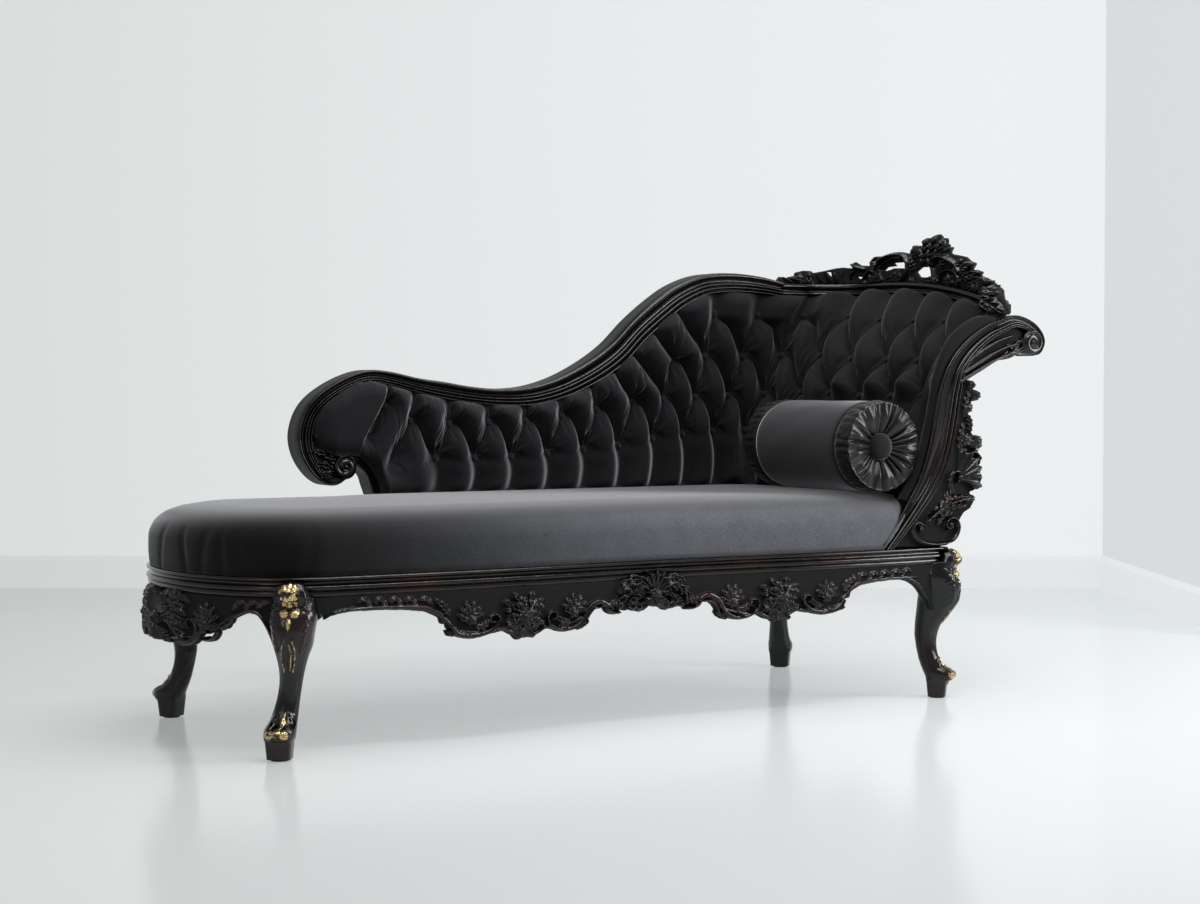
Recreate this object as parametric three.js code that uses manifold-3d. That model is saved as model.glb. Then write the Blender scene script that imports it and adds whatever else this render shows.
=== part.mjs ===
// A fainting couch: a carved and ebonised frame with a rolled head, a scrolled back that dies away
// towards the foot, a buttoned back, an upholstered seat and a loose bolster.
// Millimetres, +X towards the head, -Y the open front, +Z up.
import * as THREE from 'three';
import Module from 'manifold-3d';

const wasm = await Module();
wasm.setup();

// Driving sizes of the frame
const footReach = 930; // middle of the four feet to the tip of the foot end
const headReach = 815; // middle of the four feet to the outer face of the head rail
const roundReach = 230; // how far the half round of the foot end stands out
const frontDepth = 330; // middle of the feet to the face of the front rail
const backDepth = 345; // middle of the feet to the face of the back rail
const legHeight = 309;
const railHeight = 37;
const railDepth = 70;
const railStep = 38; // the rail is rebated this far behind its aprons
const railDrop = 30; // how far the rebated part hangs below the moulding
const reedDepth = 4;
const serpentine = 9; // how far the front rail waves in and out
const gap = 0.4; // clearance between pieces that touch

// Legs
const footLegInset = 128; // each leg's middle lies this far inside the reach on its side
const headLegInset = 13;
const frontLegInset = 23;
const backLegInset = 38;
const legReach = 52;
const legLean = 38; // the feet at the foot end stand this far out from their knees
const legHalfWidth = 54;
const kneeHeight = 30; // how far the knee ornament climbs over the moulding
const glideHeight = 3;
const glideRadius = 17;

// Aprons
const apronDepth = 26;
const apronSet = 5; // how far an apron's face lies behind the moulding
const apronDrop = 109;
const apronReach = 702; // half the length that the front apron's outline spans
const footApronReach = 320;
const apronRelief = 13;
const plainApronDrop = 40;

// Back and head
const backRise = 734; // seat rail to the top of the crest
const backLength = 955; // length to which the outlines of back and head are drawn
const bandWidth = 64; // full width of the reeded bands
const backFrameFront = 300;
const backFrameDepth = 60;
const wallY = 312; // flat of the buttoned back, before its padding
const cornerRadius = 135;
const postFront = 335;
const postBack = 275;
const padBase = 14; // padding behind the buttons
const padRise = 32; // how far the buttoned padding swells
const frameLayer = 22; // hidden timbers behind the padding
const panelLayer = 7; // outside panels of back and head
const padSet = 8; // how far the head's padding stops behind the face of its post
const padBottom = 445; // underside of the buttoned padding
const headTopRailHeight = 32;
const headTopRailFront = 6;
const headTopRailBack = 48;
const headTopDrop = 60; // how far the top of the head falls from the corner to the front

// Buttoning
const buttonPitch = 98;
const wideButtonPitch = 126;
const rowPitch = 97;
const buttonStart = 645;
const wideStart = 850;
const rowLevel = 690;
const rowFall = 58; // the rows drop by this much towards the foot
const rowFallStart = 50;
const rowFallEnd = 450;
const cornerRun = 644; // where the rounded corner starts, measured along the back
const fanStart = 250; // right of here the columns lean with the head
const topPleat = 36; // no button lies nearer the frame than this
const lobeEdge = 296; // left of here the padding is one plain round lobe

// Seat
const seatInset = 7;
const seatGap = 3; // between the seat and the head's timbers
const seatEdge = 112; // rail top to the rounded edge of the seat
const seatCrown = 15;
const seatRound = 60; // how far its rounded edge reaches in from the side
const seatBulge = 3;
const wellReach = 400; // the seat's back edge steps in from here towards the head
const wellRun = 40;

// Crest and bracket carvings
const crestStart = 604;
const crestEnd = 1364;
const crestHeight = 125;
const crestDepth = 22;
const crestGrain = 0.3; // facets finer than this are merged
const crestRelief = 12; // how far its carving stands before the pierced board
const crestSet = 4;
const bracketDepth = 34;
const bracketSet = 12;

// Loose bolster
const bolsterX = 642;
const bolsterRadius = 104;
const bolsterFront = 316;
const bolsterBack = 100;
const bolsterButton = 31;
const bolsterLift = 0.6; // the bolster's clearance over the crown of the seat

// Seat underside
const blockSize = 46;
const slatWidth = 60;
const slatDepth = 20;
const sheetThickness = 2.5;

const railTop = legHeight + railHeight;
const backFrameBack = backFrameFront + backFrameDepth;
const footLegX = footReach - footLegInset;
const headLegX = headReach - headLegInset;
const frontLegY = frontDepth - frontLegInset;
const backLegY = backDepth - backLegInset;
const weldShare = 1e-7;
const probeShare = 1e-4;

// Finishes
const ebony = { color: 0x17130f, roughness: 0.32, metalness: 0 };
const velvet = { color: 0x2a2a2d, roughness: 0.95, metalness: 0 };
const beech = { color: 0x9a7a55, roughness: 0.7, metalness: 0 };
const lining = { color: 0x191818, roughness: 0.9, metalness: 0 };
const jute = { color: 0x8d7753, roughness: 0.95, metalness: 0 };
const felt = { color: 0x3a3531, roughness: 1, metalness: 0 };

const couch = new THREE.Group();

// Shared geometry helpers

function volumeOf(positions, faces) {
  let sum = 0;
  const [a, b, c] = [new THREE.Vector3(), new THREE.Vector3(), new THREE.Vector3()];
  for (let i = 0; i < faces.length; i += 3) {
    a.fromArray(positions, faces[i] * 3);
    b.fromArray(positions, faces[i + 1] * 3);
    c.fromArray(positions, faces[i + 2] * 3);
    sum += a.dot(b.cross(c));
  }
  return sum;
}

// A closed geometry whose faces point out, whichever way its rings ran.
function closedGeometry(positions, faces) {
  if (volumeOf(positions, faces) < 0) faces.reverse();
  const geometry = new THREE.BufferGeometry();
  geometry.setAttribute('position', new THREE.Float32BufferAttribute(positions, 3));
  geometry.setIndex(faces);
  return geometry;
}

function middleOf(outline) {
  const sum = outline.reduce(([a, b], [c, d]) => [a + c, b + d], [0, 0]);
  return sum.map((v) => v / outline.length);
}

// Skins the outlines of a row of stations and closes both ends from a hub point.
function sweep(count, outline, place, hub = (i) => middleOf(outline(i))) {
  const positions = [];
  const faces = [];
  const size = outline(0).length;
  for (let i = 0; i < count; i++) {
    for (const [a, b] of outline(i)) positions.push(...place(i, a, b));
  }
  for (let i = 0; i + 1 < count; i++) {
    for (let k = 0; k < size; k++) {
      const here = i * size;
      const next = here + size;
      const n = (k + 1) % size;
      faces.push(here + k, here + n, next + n, here + k, next + n, next + k);
    }
  }
  for (const i of [0, count - 1]) {
    const middle = positions.length / 3;
    positions.push(...place(i, ...hub(i)));
    for (let k = 0; k < size; k++) {
      const edge = [i * size + k, i * size + ((k + 1) % size)];
      if (i === 0) edge.reverse();
      faces.push(middle, ...edge);
    }
  }
  return closedGeometry(positions, faces);
}

// A closed slab between two grids of points; a flat back needs only its border points.
function slab(columns, rows, front, back, flatBack = false) {
  const positions = [];
  const faces = [];
  const side = (columns + 1) * (rows + 1);
  const at = (i, j, layer) => layer * side + i * (rows + 1) + j;
  for (const layer of [front, back]) {
    for (let i = 0; i <= columns; i++) {
      for (let j = 0; j <= rows; j++) positions.push(...layer(i, j));
    }
  }
  const quad = (a, b, c, d) => faces.push(a, b, c, a, c, d);
  for (let i = 0; i < columns; i++) {
    for (let j = 0; j < rows; j++) {
      quad(at(i, j, 0), at(i + 1, j, 0), at(i + 1, j + 1, 0), at(i, j + 1, 0));
      if (!flatBack) quad(at(i, j, 1), at(i, j + 1, 1), at(i + 1, j + 1, 1), at(i + 1, j, 1));
    }
    if (flatBack && i > 0 && i < columns - 1) {
      quad(at(i, 0, 1), at(i, rows, 1), at(i + 1, rows, 1), at(i + 1, 0, 1));
    }
    quad(at(i, 0, 0), at(i, 0, 1), at(i + 1, 0, 1), at(i + 1, 0, 0));
    quad(at(i, rows, 0), at(i + 1, rows, 0), at(i + 1, rows, 1), at(i, rows, 1));
  }
  for (let j = 0; j < rows; j++) {
    quad(at(0, j, 0), at(0, j + 1, 0), at(0, j + 1, 1), at(0, j, 1));
    quad(at(columns, j, 0), at(columns, j, 1), at(columns, j + 1, 1), at(columns, j + 1, 0));
    if (flatBack) {
      faces.push(at(1, 0, 1), at(0, j, 1), at(0, j + 1, 1));
      faces.push(at(columns - 1, 0, 1), at(columns, j + 1, 1), at(columns, j, 1));
    }
  }
  if (flatBack) {
    faces.push(at(1, 0, 1), at(0, rows, 1), at(1, rows, 1));
    faces.push(at(columns - 1, 0, 1), at(columns - 1, rows, 1), at(columns, rows, 1));
  }
  return closedGeometry(positions, faces).toNonIndexed();
}

// Merges equal corners and drops the points that no face uses.
function welded(geometry) {
  const source = geometry.index ? geometry.toNonIndexed() : geometry;
  const values = source.getAttribute('position').array;
  const grain = footReach * weldShare;
  const seen = new Map();
  const positions = [];
  const faces = [];
  for (let i = 0; i < values.length; i += 3) {
    const key = [0, 1, 2].map((k) => Math.round(values[i + k] / grain)).join();
    if (!seen.has(key)) {
      seen.set(key, positions.length / 3);
      positions.push(values[i], values[i + 1], values[i + 2]);
    }
    faces.push(seen.get(key));
  }
  const kept = [];
  for (let i = 0; i < faces.length; i += 3) {
    const [a, b, c] = faces.slice(i, i + 3);
    if (a !== b && b !== c && c !== a) kept.push(a, b, c);
  }
  return closedGeometry(positions, kept);
}

function solidOf(geometry) {
  const clean = welded(geometry);
  return new wasm.Manifold(
    new wasm.Mesh({
      numProp: 3,
      vertProperties: clean.getAttribute('position').array,
      triVerts: new Uint32Array(clean.index.array),
    }),
  );
}

function geometryOf(solid) {
  const mesh = solid.getMesh();
  const positions = [];
  for (let i = 0; i < mesh.numVert; i++) {
    positions.push(...mesh.vertProperties.subarray(i * mesh.numProp, i * mesh.numProp + 3));
  }
  return closedGeometry(positions, [...mesh.triVerts]);
}

function joined(geometries) {
  return geometryOf(geometries.map(solidOf).reduce((sum, next) => sum.add(next)));
}

function cut(geometry, tools) {
  return geometryOf(tools.map(solidOf).reduce((rest, tool) => rest.subtract(tool), solidOf(geometry)));
}

function add(name, geometry, finish) {
  const mesh = new THREE.Mesh(geometry, new THREE.MeshStandardMaterial(finish));
  mesh.name = name;
  couch.add(mesh);
  return mesh;
}

function boxAt(x0, x1, y0, y1, z0, z1) {
  return new THREE.BoxGeometry(x1 - x0, y1 - y0, z1 - z0)
    .translate((x0 + x1) / 2, (y0 + y1) / 2, (z0 + z1) / 2);
}

// Value of a table of [place, value] pairs at a place, straight between neighbours.
function along(table, place) {
  if (place <= table[0][0]) return table[0][1];
  for (let i = 1; i < table.length; i++) {
    const [a, from] = table[i - 1];
    const [b, to] = table[i];
    if (place <= b) return from + ((to - from) * (place - a)) / (b - a);
  }
  return table[table.length - 1][1];
}

const mix = THREE.MathUtils.lerp;
const ease = THREE.MathUtils.smoothstep;

// Places on the upright outlines: shares of the back's length and of its rise
const uprightX = (share) => share * backLength;
const uprightZ = (share) => railTop + share * backRise;
const upright = (shares) => shares.map(([x, z]) => [uprightX(x), uprightZ(z)]);

// Plan of the seat rail: station t runs along the outer face, depth is measured inwards

const railMiddle = (frontDepth + backDepth) / 2 - frontDepth;
const roundHalf = (frontDepth + backDepth) / 2;
const roundX = roundReach - footReach;

function frontFace(x) {
  const t = (x - roundX) / (headReach - roundX);
  return -frontDepth - serpentine * Math.sin(3 * Math.PI * t);
}

function roundPlace(angle, depth) {
  return [
    roundX - (roundReach - depth) * Math.cos(angle),
    railMiddle + (roundHalf - depth) * Math.sin(angle),
  ];
}

// Reeded rail section as [inward depth, height over the leg]
function railSection(grow = 0) {
  const points = [];
  const reeds = 3;
  const step = railHeight / reeds;
  for (let k = 0; k < reeds; k++) {
    points.push([reedDepth - grow, k * step - (k ? 0 : grow)]);
    points.push([-grow, (k + 0.3) * step]);
    points.push([-grow, (k + 0.7) * step]);
  }
  points.push([reedDepth - grow, railHeight + grow]);
  points.push([railDepth + grow, railHeight + grow]);
  points.push([railDepth + grow, -railDrop - grow]);
  points.push([railStep - grow, -railDrop - grow]);
  points.push([railStep - grow, -grow]);
  return points;
}
const railHub = () => [railDepth / 2, railHeight / 2];

const frontStations = 13;
function frontRail(grow = 0) {
  const start = roundX + gap / 2;
  const place = (i, depth, height) => {
    const end = headReach - depth - gap;
    const x = mix(start, end, i / (frontStations - 1));
    return [x, frontFace(x) + depth, legHeight + height];
  };
  return sweep(frontStations, () => railSection(grow), place, railHub);
}

const roundStations = 23;
function footRail(grow = 0) {
  const place = (i, depth, height) => {
    const angle = mix(-Math.PI / 2, Math.PI / 2, i / (roundStations - 1));
    const [x, y] = roundPlace(angle, depth);
    return [x - gap / 2, y, legHeight + height];
  };
  return sweep(roundStations, () => railSection(grow), place, railHub);
}

function backRail(grow = 0) {
  const start = roundX + gap / 2;
  const place = (i, depth, height) => [
    mix(start, headReach - depth - gap, i),
    backDepth - depth,
    legHeight + height,
  ];
  return sweep(2, () => railSection(grow), place, railHub);
}

function headRail(grow = 0) {
  const place = (i, depth, height) => [
    headReach - depth,
    mix(frontFace(headReach) + depth + gap, backDepth - depth - gap, i),
    legHeight + height,
  ];
  return sweep(2, () => railSection(grow), place, railHub);
}

// Cabriole legs: height, inner and outer reach and half width at each station, as shares
const legShares = [
  [0.01, -0.383, 0.383, 0.426], [0.117, -0.45, 0.467, 0.481], [0.136, -0.5, 0.667, 0.556],
  [0.194, -0.633, 0.633, 0.556], [0.239, -0.733, 0.217, 0.519], [0.278, -0.8, 0.1, 0.463],
  [0.366, -0.917, -0.017, 0.417], [0.46, -1, 0, 0.407], [0.55, -1, 0.2, 0.444],
  [0.638, -0.95, 0.55, 0.556], [0.706, -0.9, 0.867, 0.667], [0.777, -0.833, 1, 0.778],
  [0.848, -0.8, 1, 0.852], [0.932, -0.767, 0.867, 0.926], [1, -0.733, 0.7, 1],
];
// The ornament on the knee, the same way, with heights running on over the moulding
const kneeShares = [
  [-0.6, 0.3, 0.95, 0.3], [-0.35, 0.3, 1.06, 0.55], [0, 0.2, 0.95, 0.75], [0.35, 0.1, 0.8, 0.66],
  [0.7, 0.1, 0.78, 0.52], [0.92, 0.15, 0.7, 0.36], [1, 0.2, 0.6, 0.18],
];
const legSides = 12;
const kneeSides = 8;

function roundedOutline(inner, outer, half, sides, square) {
  const points = [];
  for (let k = 0; k < sides; k++) {
    const angle = (2 * Math.PI * (k + 0.5)) / sides;
    const soft = (v) => Math.sign(v) * Math.pow(Math.abs(v), square);
    points.push([
      (inner + outer) / 2 + ((outer - inner) / 2) * soft(Math.cos(angle)),
      half * soft(Math.sin(angle)),
    ]);
  }
  return points;
}

// How far each station leans sideways, as a share of the lean
const leanShares = [0, 0, 0, 0, 0.06, 0.15, 0.26, 0.37, 0.47, 0.57, 0.65, 0.74, 0.76, 0.76, 0.76];

function legGeometry({ x: cx, y: cy, angle, lean }, grow = 0) {
  const [dx, dy] = [Math.cos(angle), Math.sin(angle)];
  const at = (out, side, z) => [cx + dx * out - dy * side, cy + dy * out + dx * side, z];
  const stem = sweep(
    legShares.length,
    (i) => {
      const [, inner, outer, half] = legShares[i];
      const square = i < 2 ? 0.35 : 0.8;
      return roundedOutline(
        inner * legReach - grow, outer * legReach + grow, half * legHalfWidth + grow, legSides, square,
      );
    },
    (i, out, side) => {
      const foot = i ? 0 : glideHeight + gap - legShares[0][0] * legHeight;
      const top = i === legShares.length - 1 ? -gap + grow : 0;
      return at(out, side + lean * leanShares[i], legShares[i][0] * legHeight + foot + top);
    },
  );
  const knee = sweep(
    kneeShares.length,
    (i) => {
      const [, inner, outer, half] = kneeShares[i];
      return roundedOutline(
        inner * legReach - grow, outer * legReach + grow, half * legHalfWidth + grow, kneeSides, 0.9,
      );
    },
    (i, out, side) => {
      const share = kneeShares[i][0];
      const z = legHeight + (share < 0 ? share * apronDrop : share * kneeHeight);
      return at(out, side + lean, z);
    },
  );
  return joined([stem, knee]);
}

// Angles along which the four legs face outwards; at the foot end they stand square to the rail
const roundSlope = Math.atan2(
  (frontLegY * roundReach * roundReach),
  (footLegX + roundX) * roundHalf * roundHalf,
);
const legs = [
  { name: 'front_foot', x: -footLegX, y: -frontLegY, angle: Math.PI + roundSlope, lean: legLean },
  { name: 'back_foot', x: -footLegX, y: backLegY, angle: Math.PI - roundSlope, lean: -legLean },
  { name: 'front_head', x: headLegX, y: -frontLegY, angle: -Math.PI / 4, lean: 0 },
  { name: 'back_head', x: headLegX, y: backLegY, angle: Math.PI / 4, lean: 0 },
];

function makeLegsAndRails() {
  const envelopes = legs.map((leg) => legGeometry(leg, gap));
  const rails = [frontRail(gap), footRail(gap), backRail(gap), headRail(gap)];
  // the knee stands in front of the moulding, and the top of the leg under it
  for (const leg of legs) {
    add(`leg_${leg.name}`, cut(legGeometry(leg), rails), ebony);
    const glide = new THREE.CylinderGeometry(glideRadius, glideRadius, glideHeight, 20)
      .rotateX(Math.PI / 2)
      .translate(leg.x, leg.y, glideHeight / 2);
    add(`glide_${leg.name}`, glide, felt);
  }
  add('seat_rail_front', frontRail(), ebony);
  add('seat_rail_foot', footRail(), ebony);
  add('seat_rail_back', backRail(), ebony);
  add('seat_rail_head', headRail(), ebony);
  return envelopes;
}

// Drop of the carved front apron from its middle outwards, as shares of its reach and its drop
const apronShares = [
  [0, 0.468], [0.078, 0.56], [0.125, 0.606], [0.158, 0.495], [0.194, 0.468], [0.233, 0.651],
  [0.264, 0.78], [0.331, 0.89], [0.375, 0.853], [0.403, 0.954], [0.444, 1], [0.479, 0.945],
  [0.514, 0.835], [0.556, 0.881], [0.611, 0.771], [0.664, 0.761], [0.683, 0.651],
  [0.715, 0.486], [0.757, 0.394], [0.819, 0.349], [0.944, 0.321], [1.1, 0.321],
];
const footApronShares = [
  [0, 0.954], [0.125, 0.954], [0.3, 0.89], [0.44, 0.85], [0.49, 0.78], [0.51, 0.66],
  [0.6, 0.64], [0.66, 0.56], [0.76, 0.4], [0.86, 0.3], [1, 0.31],
];
// Carved mounds: place and radius as shares of the reach, height of the middle as a share of
// the drop, and how proud each stands
const moundShares = [
  [0, 0.2, 0.1, 1], [0.444, 0.66, 0.075, 1], [0.31, 0.6, 0.06, 0.7], [0.6, 0.5, 0.06, 0.7],
  [0.17, 0.25, 0.05, 0.5],
];
const footMoundShares = [[0, 0.55, 0.3, 1], [0.48, 0.5, 0.16, 0.7]];

function apronSection(place, reach, dropShares, mounds) {
  const drop = apronDrop * along(dropShares, Math.abs(place) / reach);
  const heights = [0, 0.3, 0.62, 0.9, 1];
  const points = heights.map((share) => {
    const z = drop * share;
    let proud = 0;
    for (const [at, level, size, rise] of mounds) {
      const along2 = (Math.abs(place) - at * reach) / (size * reach);
      const down2 = (z - level * apronDrop) / (size * reach);
      const fall = 1 - along2 * along2 - down2 * down2;
      if (fall > 0) proud = Math.max(proud, rise * Math.sqrt(fall));
    }
    const edge = share === 0 || share === 1 ? 0 : 1;
    return [apronSet - apronRelief * proud * edge, -z];
  });
  return [...points, [apronSet + apronDepth, -drop], [apronSet + apronDepth, 0]];
}

function makeAprons(envelopes) {
  const steps = 2 * 24;
  const middle = serpentine * 3;
  const front = sweep(
    steps + 1,
    (i) => apronSection(mix(roundX, headReach - railDepth / 2, i / steps) - middle, apronReach,
      apronShares, moundShares),
    (i, depth, height) => {
      const x = mix(roundX, headReach - railDepth / 2, i / steps);
      return [x, frontFace(x) + depth, legHeight - gap + height];
    },
  );
  const [frontFoot, backFoot, frontHead, backHead] = envelopes;
  add('apron_front', largest(cut(front, [frontFoot, frontHead])), ebony);

  const roundSteps = 30;
  const spread = Math.PI / 2 - gap / roundReach;
  const foot = sweep(
    roundSteps + 1,
    (i) => {
      const angle = mix(-spread, spread, i / roundSteps);
      const run = roundHalf * Math.sin(Math.abs(angle));
      return apronSection(run, footApronReach, footApronShares, footMoundShares);
    },
    (i, depth, height) => {
      const angle = mix(-spread, spread, i / roundSteps);
      const [x, y] = roundPlace(angle, depth);
      return [x, y, legHeight - gap + height];
    },
  );
  add('apron_foot', largest(cut(foot, [frontFoot, backFoot])), ebony);

  const plain = (share) => [
    [apronSet, 0], [apronSet, -plainApronDrop * share],
    [apronSet + apronDepth, -plainApronDrop * share], [apronSet + apronDepth, 0],
  ];
  const back = sweep(
    9,
    (i) => plain(1 - 0.35 * Math.sin((Math.PI * i) / 8)),
    (i, depth, height) => [
      mix(roundX + gap, headReach - railDepth / 2, i / 8), backDepth - depth, legHeight - gap + height,
    ],
  );
  add('apron_back', largest(cut(back, [backFoot, backHead])), ebony);

  const headHalf = frontDepth - railDepth / 2;
  const head = sweep(
    13,
    (i) => plain(1.1 + 0.5 * Math.cos(4 * Math.PI * (i / 12 - 0.5))),
    (i, depth, height) => [
      headReach - depth, mix(-headHalf, headHalf, i / 12), legHeight - gap + height,
    ],
  );
  add('apron_head', largest(cut(head, [frontHead, backHead])), ebony);
}

// The largest of the pieces that a cut leaves
function largest(geometry) {
  const pieces = solidOf(geometry).decompose();
  return geometryOf(pieces.reduce((a, b) => (a.volume() > b.volume() ? a : b)));
}

// The upholstered wall: a straight back, a rounded corner and the rolled head.
// run is measured along it, z is the height and out is the padding towards the sitter.

const cornerEnd = cornerRun + (cornerRadius * Math.PI) / 2;
const headRunEnd = cornerEnd + wallY - cornerRadius + postBack - gap;
const padRunEnd = headRunEnd + postFront - postBack - padSet;
// Inner face of the head as a curve, x as a share of the foot reach and height as a share of
// the back's rise, at the front and at the corner
const headFrontShares = [[0.65, 0], [0.824, 0.213], [0.827, 0.544], [1.031, 0.729]];
const headCornerShares = [[0.65, 0], [0.82, 0.213], [0.801, 0.591], [1.05, 0.811]];

function headMorph(run) {
  const t = THREE.MathUtils.clamp((run - cornerEnd) / (headRunEnd - cornerEnd), 0, 1);
  return 1 - Math.pow(t, 2.33);
}

function bezier(a, b, c, d, t) {
  const s = 1 - t;
  return s * s * s * a + 3 * s * s * t * b + 3 * s * t * t * c + t * t * t * d;
}

function headFaceX(z, run) {
  const m = headMorph(run);
  const points = headFrontShares.map(([x, h], i) => [
    uprightX(mix(x, headCornerShares[i][0], m)),
    uprightZ(mix(h, headCornerShares[i][1], m)),
  ]);
  const [xs, zs] = [0, 1].map((k) => points.map((p) => p[k]));
  let [low, high] = [0, 1];
  for (let i = 0; i < 24; i++) {
    const t = (low + high) / 2;
    if (bezier(...zs, t) < z) low = t;
    else high = t;
  }
  return bezier(...xs, (low + high) / 2);
}

const headTopZ = (run) =>
  uprightZ(headCornerShares[3][1]) - headTopDrop * (1 - headMorph(run));

// Point of the wall in plan at one height, pushed level towards the sitter
function wallPlan(run, z, out) {
  const startX = headFaceX(z, cornerRun) - cornerRadius;
  if (run <= cornerRun) {
    const lean = (startX - fanStart) / (cornerRun - fanStart);
    const x = run <= fanStart ? run : fanStart + (run - fanStart) * lean;
    return [x, wallY - out, z];
  }
  if (run <= cornerEnd) {
    const angle = (run - cornerRun) / cornerRadius;
    const radius = cornerRadius - out;
    return [startX + radius * Math.sin(angle), wallY - cornerRadius + radius * Math.cos(angle), z];
  }
  return [headFaceX(z, run) - out, wallY - cornerRadius - (run - cornerEnd), z];
}

// The same with the padding standing square to the wall
function wall(run, z, out) {
  const probe = footReach * probeShare;
  const base = new THREE.Vector3(...wallPlan(run, z, 0));
  const alongRun = new THREE.Vector3(...wallPlan(run + probe, z, 0)).sub(base);
  const up = new THREE.Vector3(...wallPlan(run, z + probe, 0)).sub(base);
  const normal = up.cross(alongRun).normalize();
  if (normal.y > 0 && run < cornerRun) normal.negate();
  if (normal.x > 0 && run > cornerEnd) normal.negate();
  if (normal.x + normal.y > 0) normal.negate();
  return base.addScaledVector(normal, out).toArray();
}

// Centre line of the back's reeded band from the corner to the eye of the volute:
// x, height and width as shares
const backBandShares = [
  [0.844, 0.832, 0.594], [0.77, 0.845, 0.688], [0.681, 0.85, 0.75], [0.597, 0.839, 0.812],
  [0.524, 0.802, 0.906], [0.461, 0.748, 0.969], [0.398, 0.684, 0.969], [0.333, 0.605, 0.969],
  [0.26, 0.545, 0.906], [0.173, 0.495, 0.812], [0.084, 0.467, 0.719], [-0.006, 0.463, 0.625],
  [-0.084, 0.471, 0.609], [-0.157, 0.485, 0.625], [-0.223, 0.5, 0.531], [-0.304, 0.523, 0.484],
  [-0.361, 0.527, 0.438], [-0.419, 0.501, 0.469], [-0.472, 0.459, 0.5], [-0.503, 0.413, 0.531],
  [-0.517, 0.353, 0.562], [-0.513, 0.3, 0.516], [-0.495, 0.252, 0.438], [-0.469, 0.215, 0.312],
  [-0.44, 0.202, 0.25], [-0.416, 0.21, 0.219],
];
const backEyeShare = [-0.417, 0.251];
const backEyeRadius = 27;
const featherShares = [
  [-0.508, 0.346], [-0.501, 0.297], [-0.482, 0.248], [-0.459, 0.217], [-0.438, 0.21],
  [-0.419, 0.237], [-0.429, 0.275], [-0.445, 0.3], [-0.476, 0.318],
];
// Top and bottom borders of the buttoned panel
const panelTopShares = [
  [-0.496, 0.39], [-0.489, 0.396], [-0.466, 0.439], [-0.426, 0.477], [-0.385, 0.504],
  [-0.349, 0.512], [-0.283, 0.491], [-0.223, 0.473], [-0.157, 0.456], [-0.073, 0.441],
  [0, 0.434], [0.108, 0.442], [0.224, 0.481], [0.318, 0.545], [0.393, 0.622], [0.459, 0.706],
  [0.515, 0.76], [0.578, 0.8], [0.64, 0.815], [0.783, 0.812], [0.901, 0.809],
];
const panelFootShares = [
  [-0.496, 0.33], [-0.476, 0.298], [-0.445, 0.284], [-0.406, 0.284], [-0.38, 0.28],
  [-0.357, 0.258], [-0.338, 0.227], [-0.327, 0.192], [-0.32, 0.157], [-0.312, 0.135],
];
const backStations = 46;
const panelTop = upright(panelTopShares);
const panelFoot = upright(panelFootShares);
const panelStart = panelTop[0][0] + 4 * gap;
const panelGap = 2 * gap;

// A reeded band swept along a line in an upright plane, its moulding to the front
function bandSection(width, front, back) {
  const points = [];
  const reeds = 3;
  const deep = Math.min(reedDepth, width / 6);
  for (let k = 0; k < reeds; k++) {
    points.push([width * (k / reeds - 0.5), front + deep]);
    points.push([width * ((k + 0.3) / reeds - 0.5), front]);
    points.push([width * ((k + 0.7) / reeds - 0.5), front]);
  }
  points.push([width / 2, front + deep]);
  points.push([width / 2, back]);
  points.push([-width / 2, back]);
  return points;
}

function band(shares, front, back, stations) {
  const points = shares.map(([x, z, w]) => new THREE.Vector3(uprightX(x), uprightZ(z), w * bandWidth));
  const line = new THREE.CatmullRomCurve3(points);
  const at = (i) => line.getPoint(i / (stations - 1));
  const side = (i) => {
    const t = line.getTangent(i / (stations - 1));
    return new THREE.Vector2(-t.y, t.x).normalize();
  };
  return sweep(
    stations,
    (i) => bandSection(at(i).z, front, back),
    (i, across, y) => [at(i).x + side(i).x * across, y, at(i).y + side(i).y * across],
  );
}

// A flat plate cut to an upright outline
function plate(outline, y0, y1) {
  const shape = new THREE.Shape(outline.map(([x, z]) => new THREE.Vector2(x, z)));
  return new THREE.ExtrudeGeometry(shape, { depth: y1 - y0, bevelEnabled: false })
    .rotateX(Math.PI / 2)
    .translate(0, y1, 0);
}

function eye(shareX, shareZ, radius, y0, y1, sides = 18) {
  return new THREE.CylinderGeometry(radius, radius, y1 - y0, sides)
    .translate(uprightX(shareX), (y0 + y1) / 2, uprightZ(shareZ));
}

const footPostShares = [
  [-0.406, 0.301], [-0.38, 0.285], [-0.357, 0.257], [-0.338, 0.222], [-0.327, 0.187],
  [-0.323, 0.157], [-0.304, 0.074], [-0.283, 0], [-0.307, 0], [-0.325, 0.074], [-0.342, 0.154],
  [-0.352, 0.191], [-0.363, 0.226], [-0.395, 0.262],
];

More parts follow.
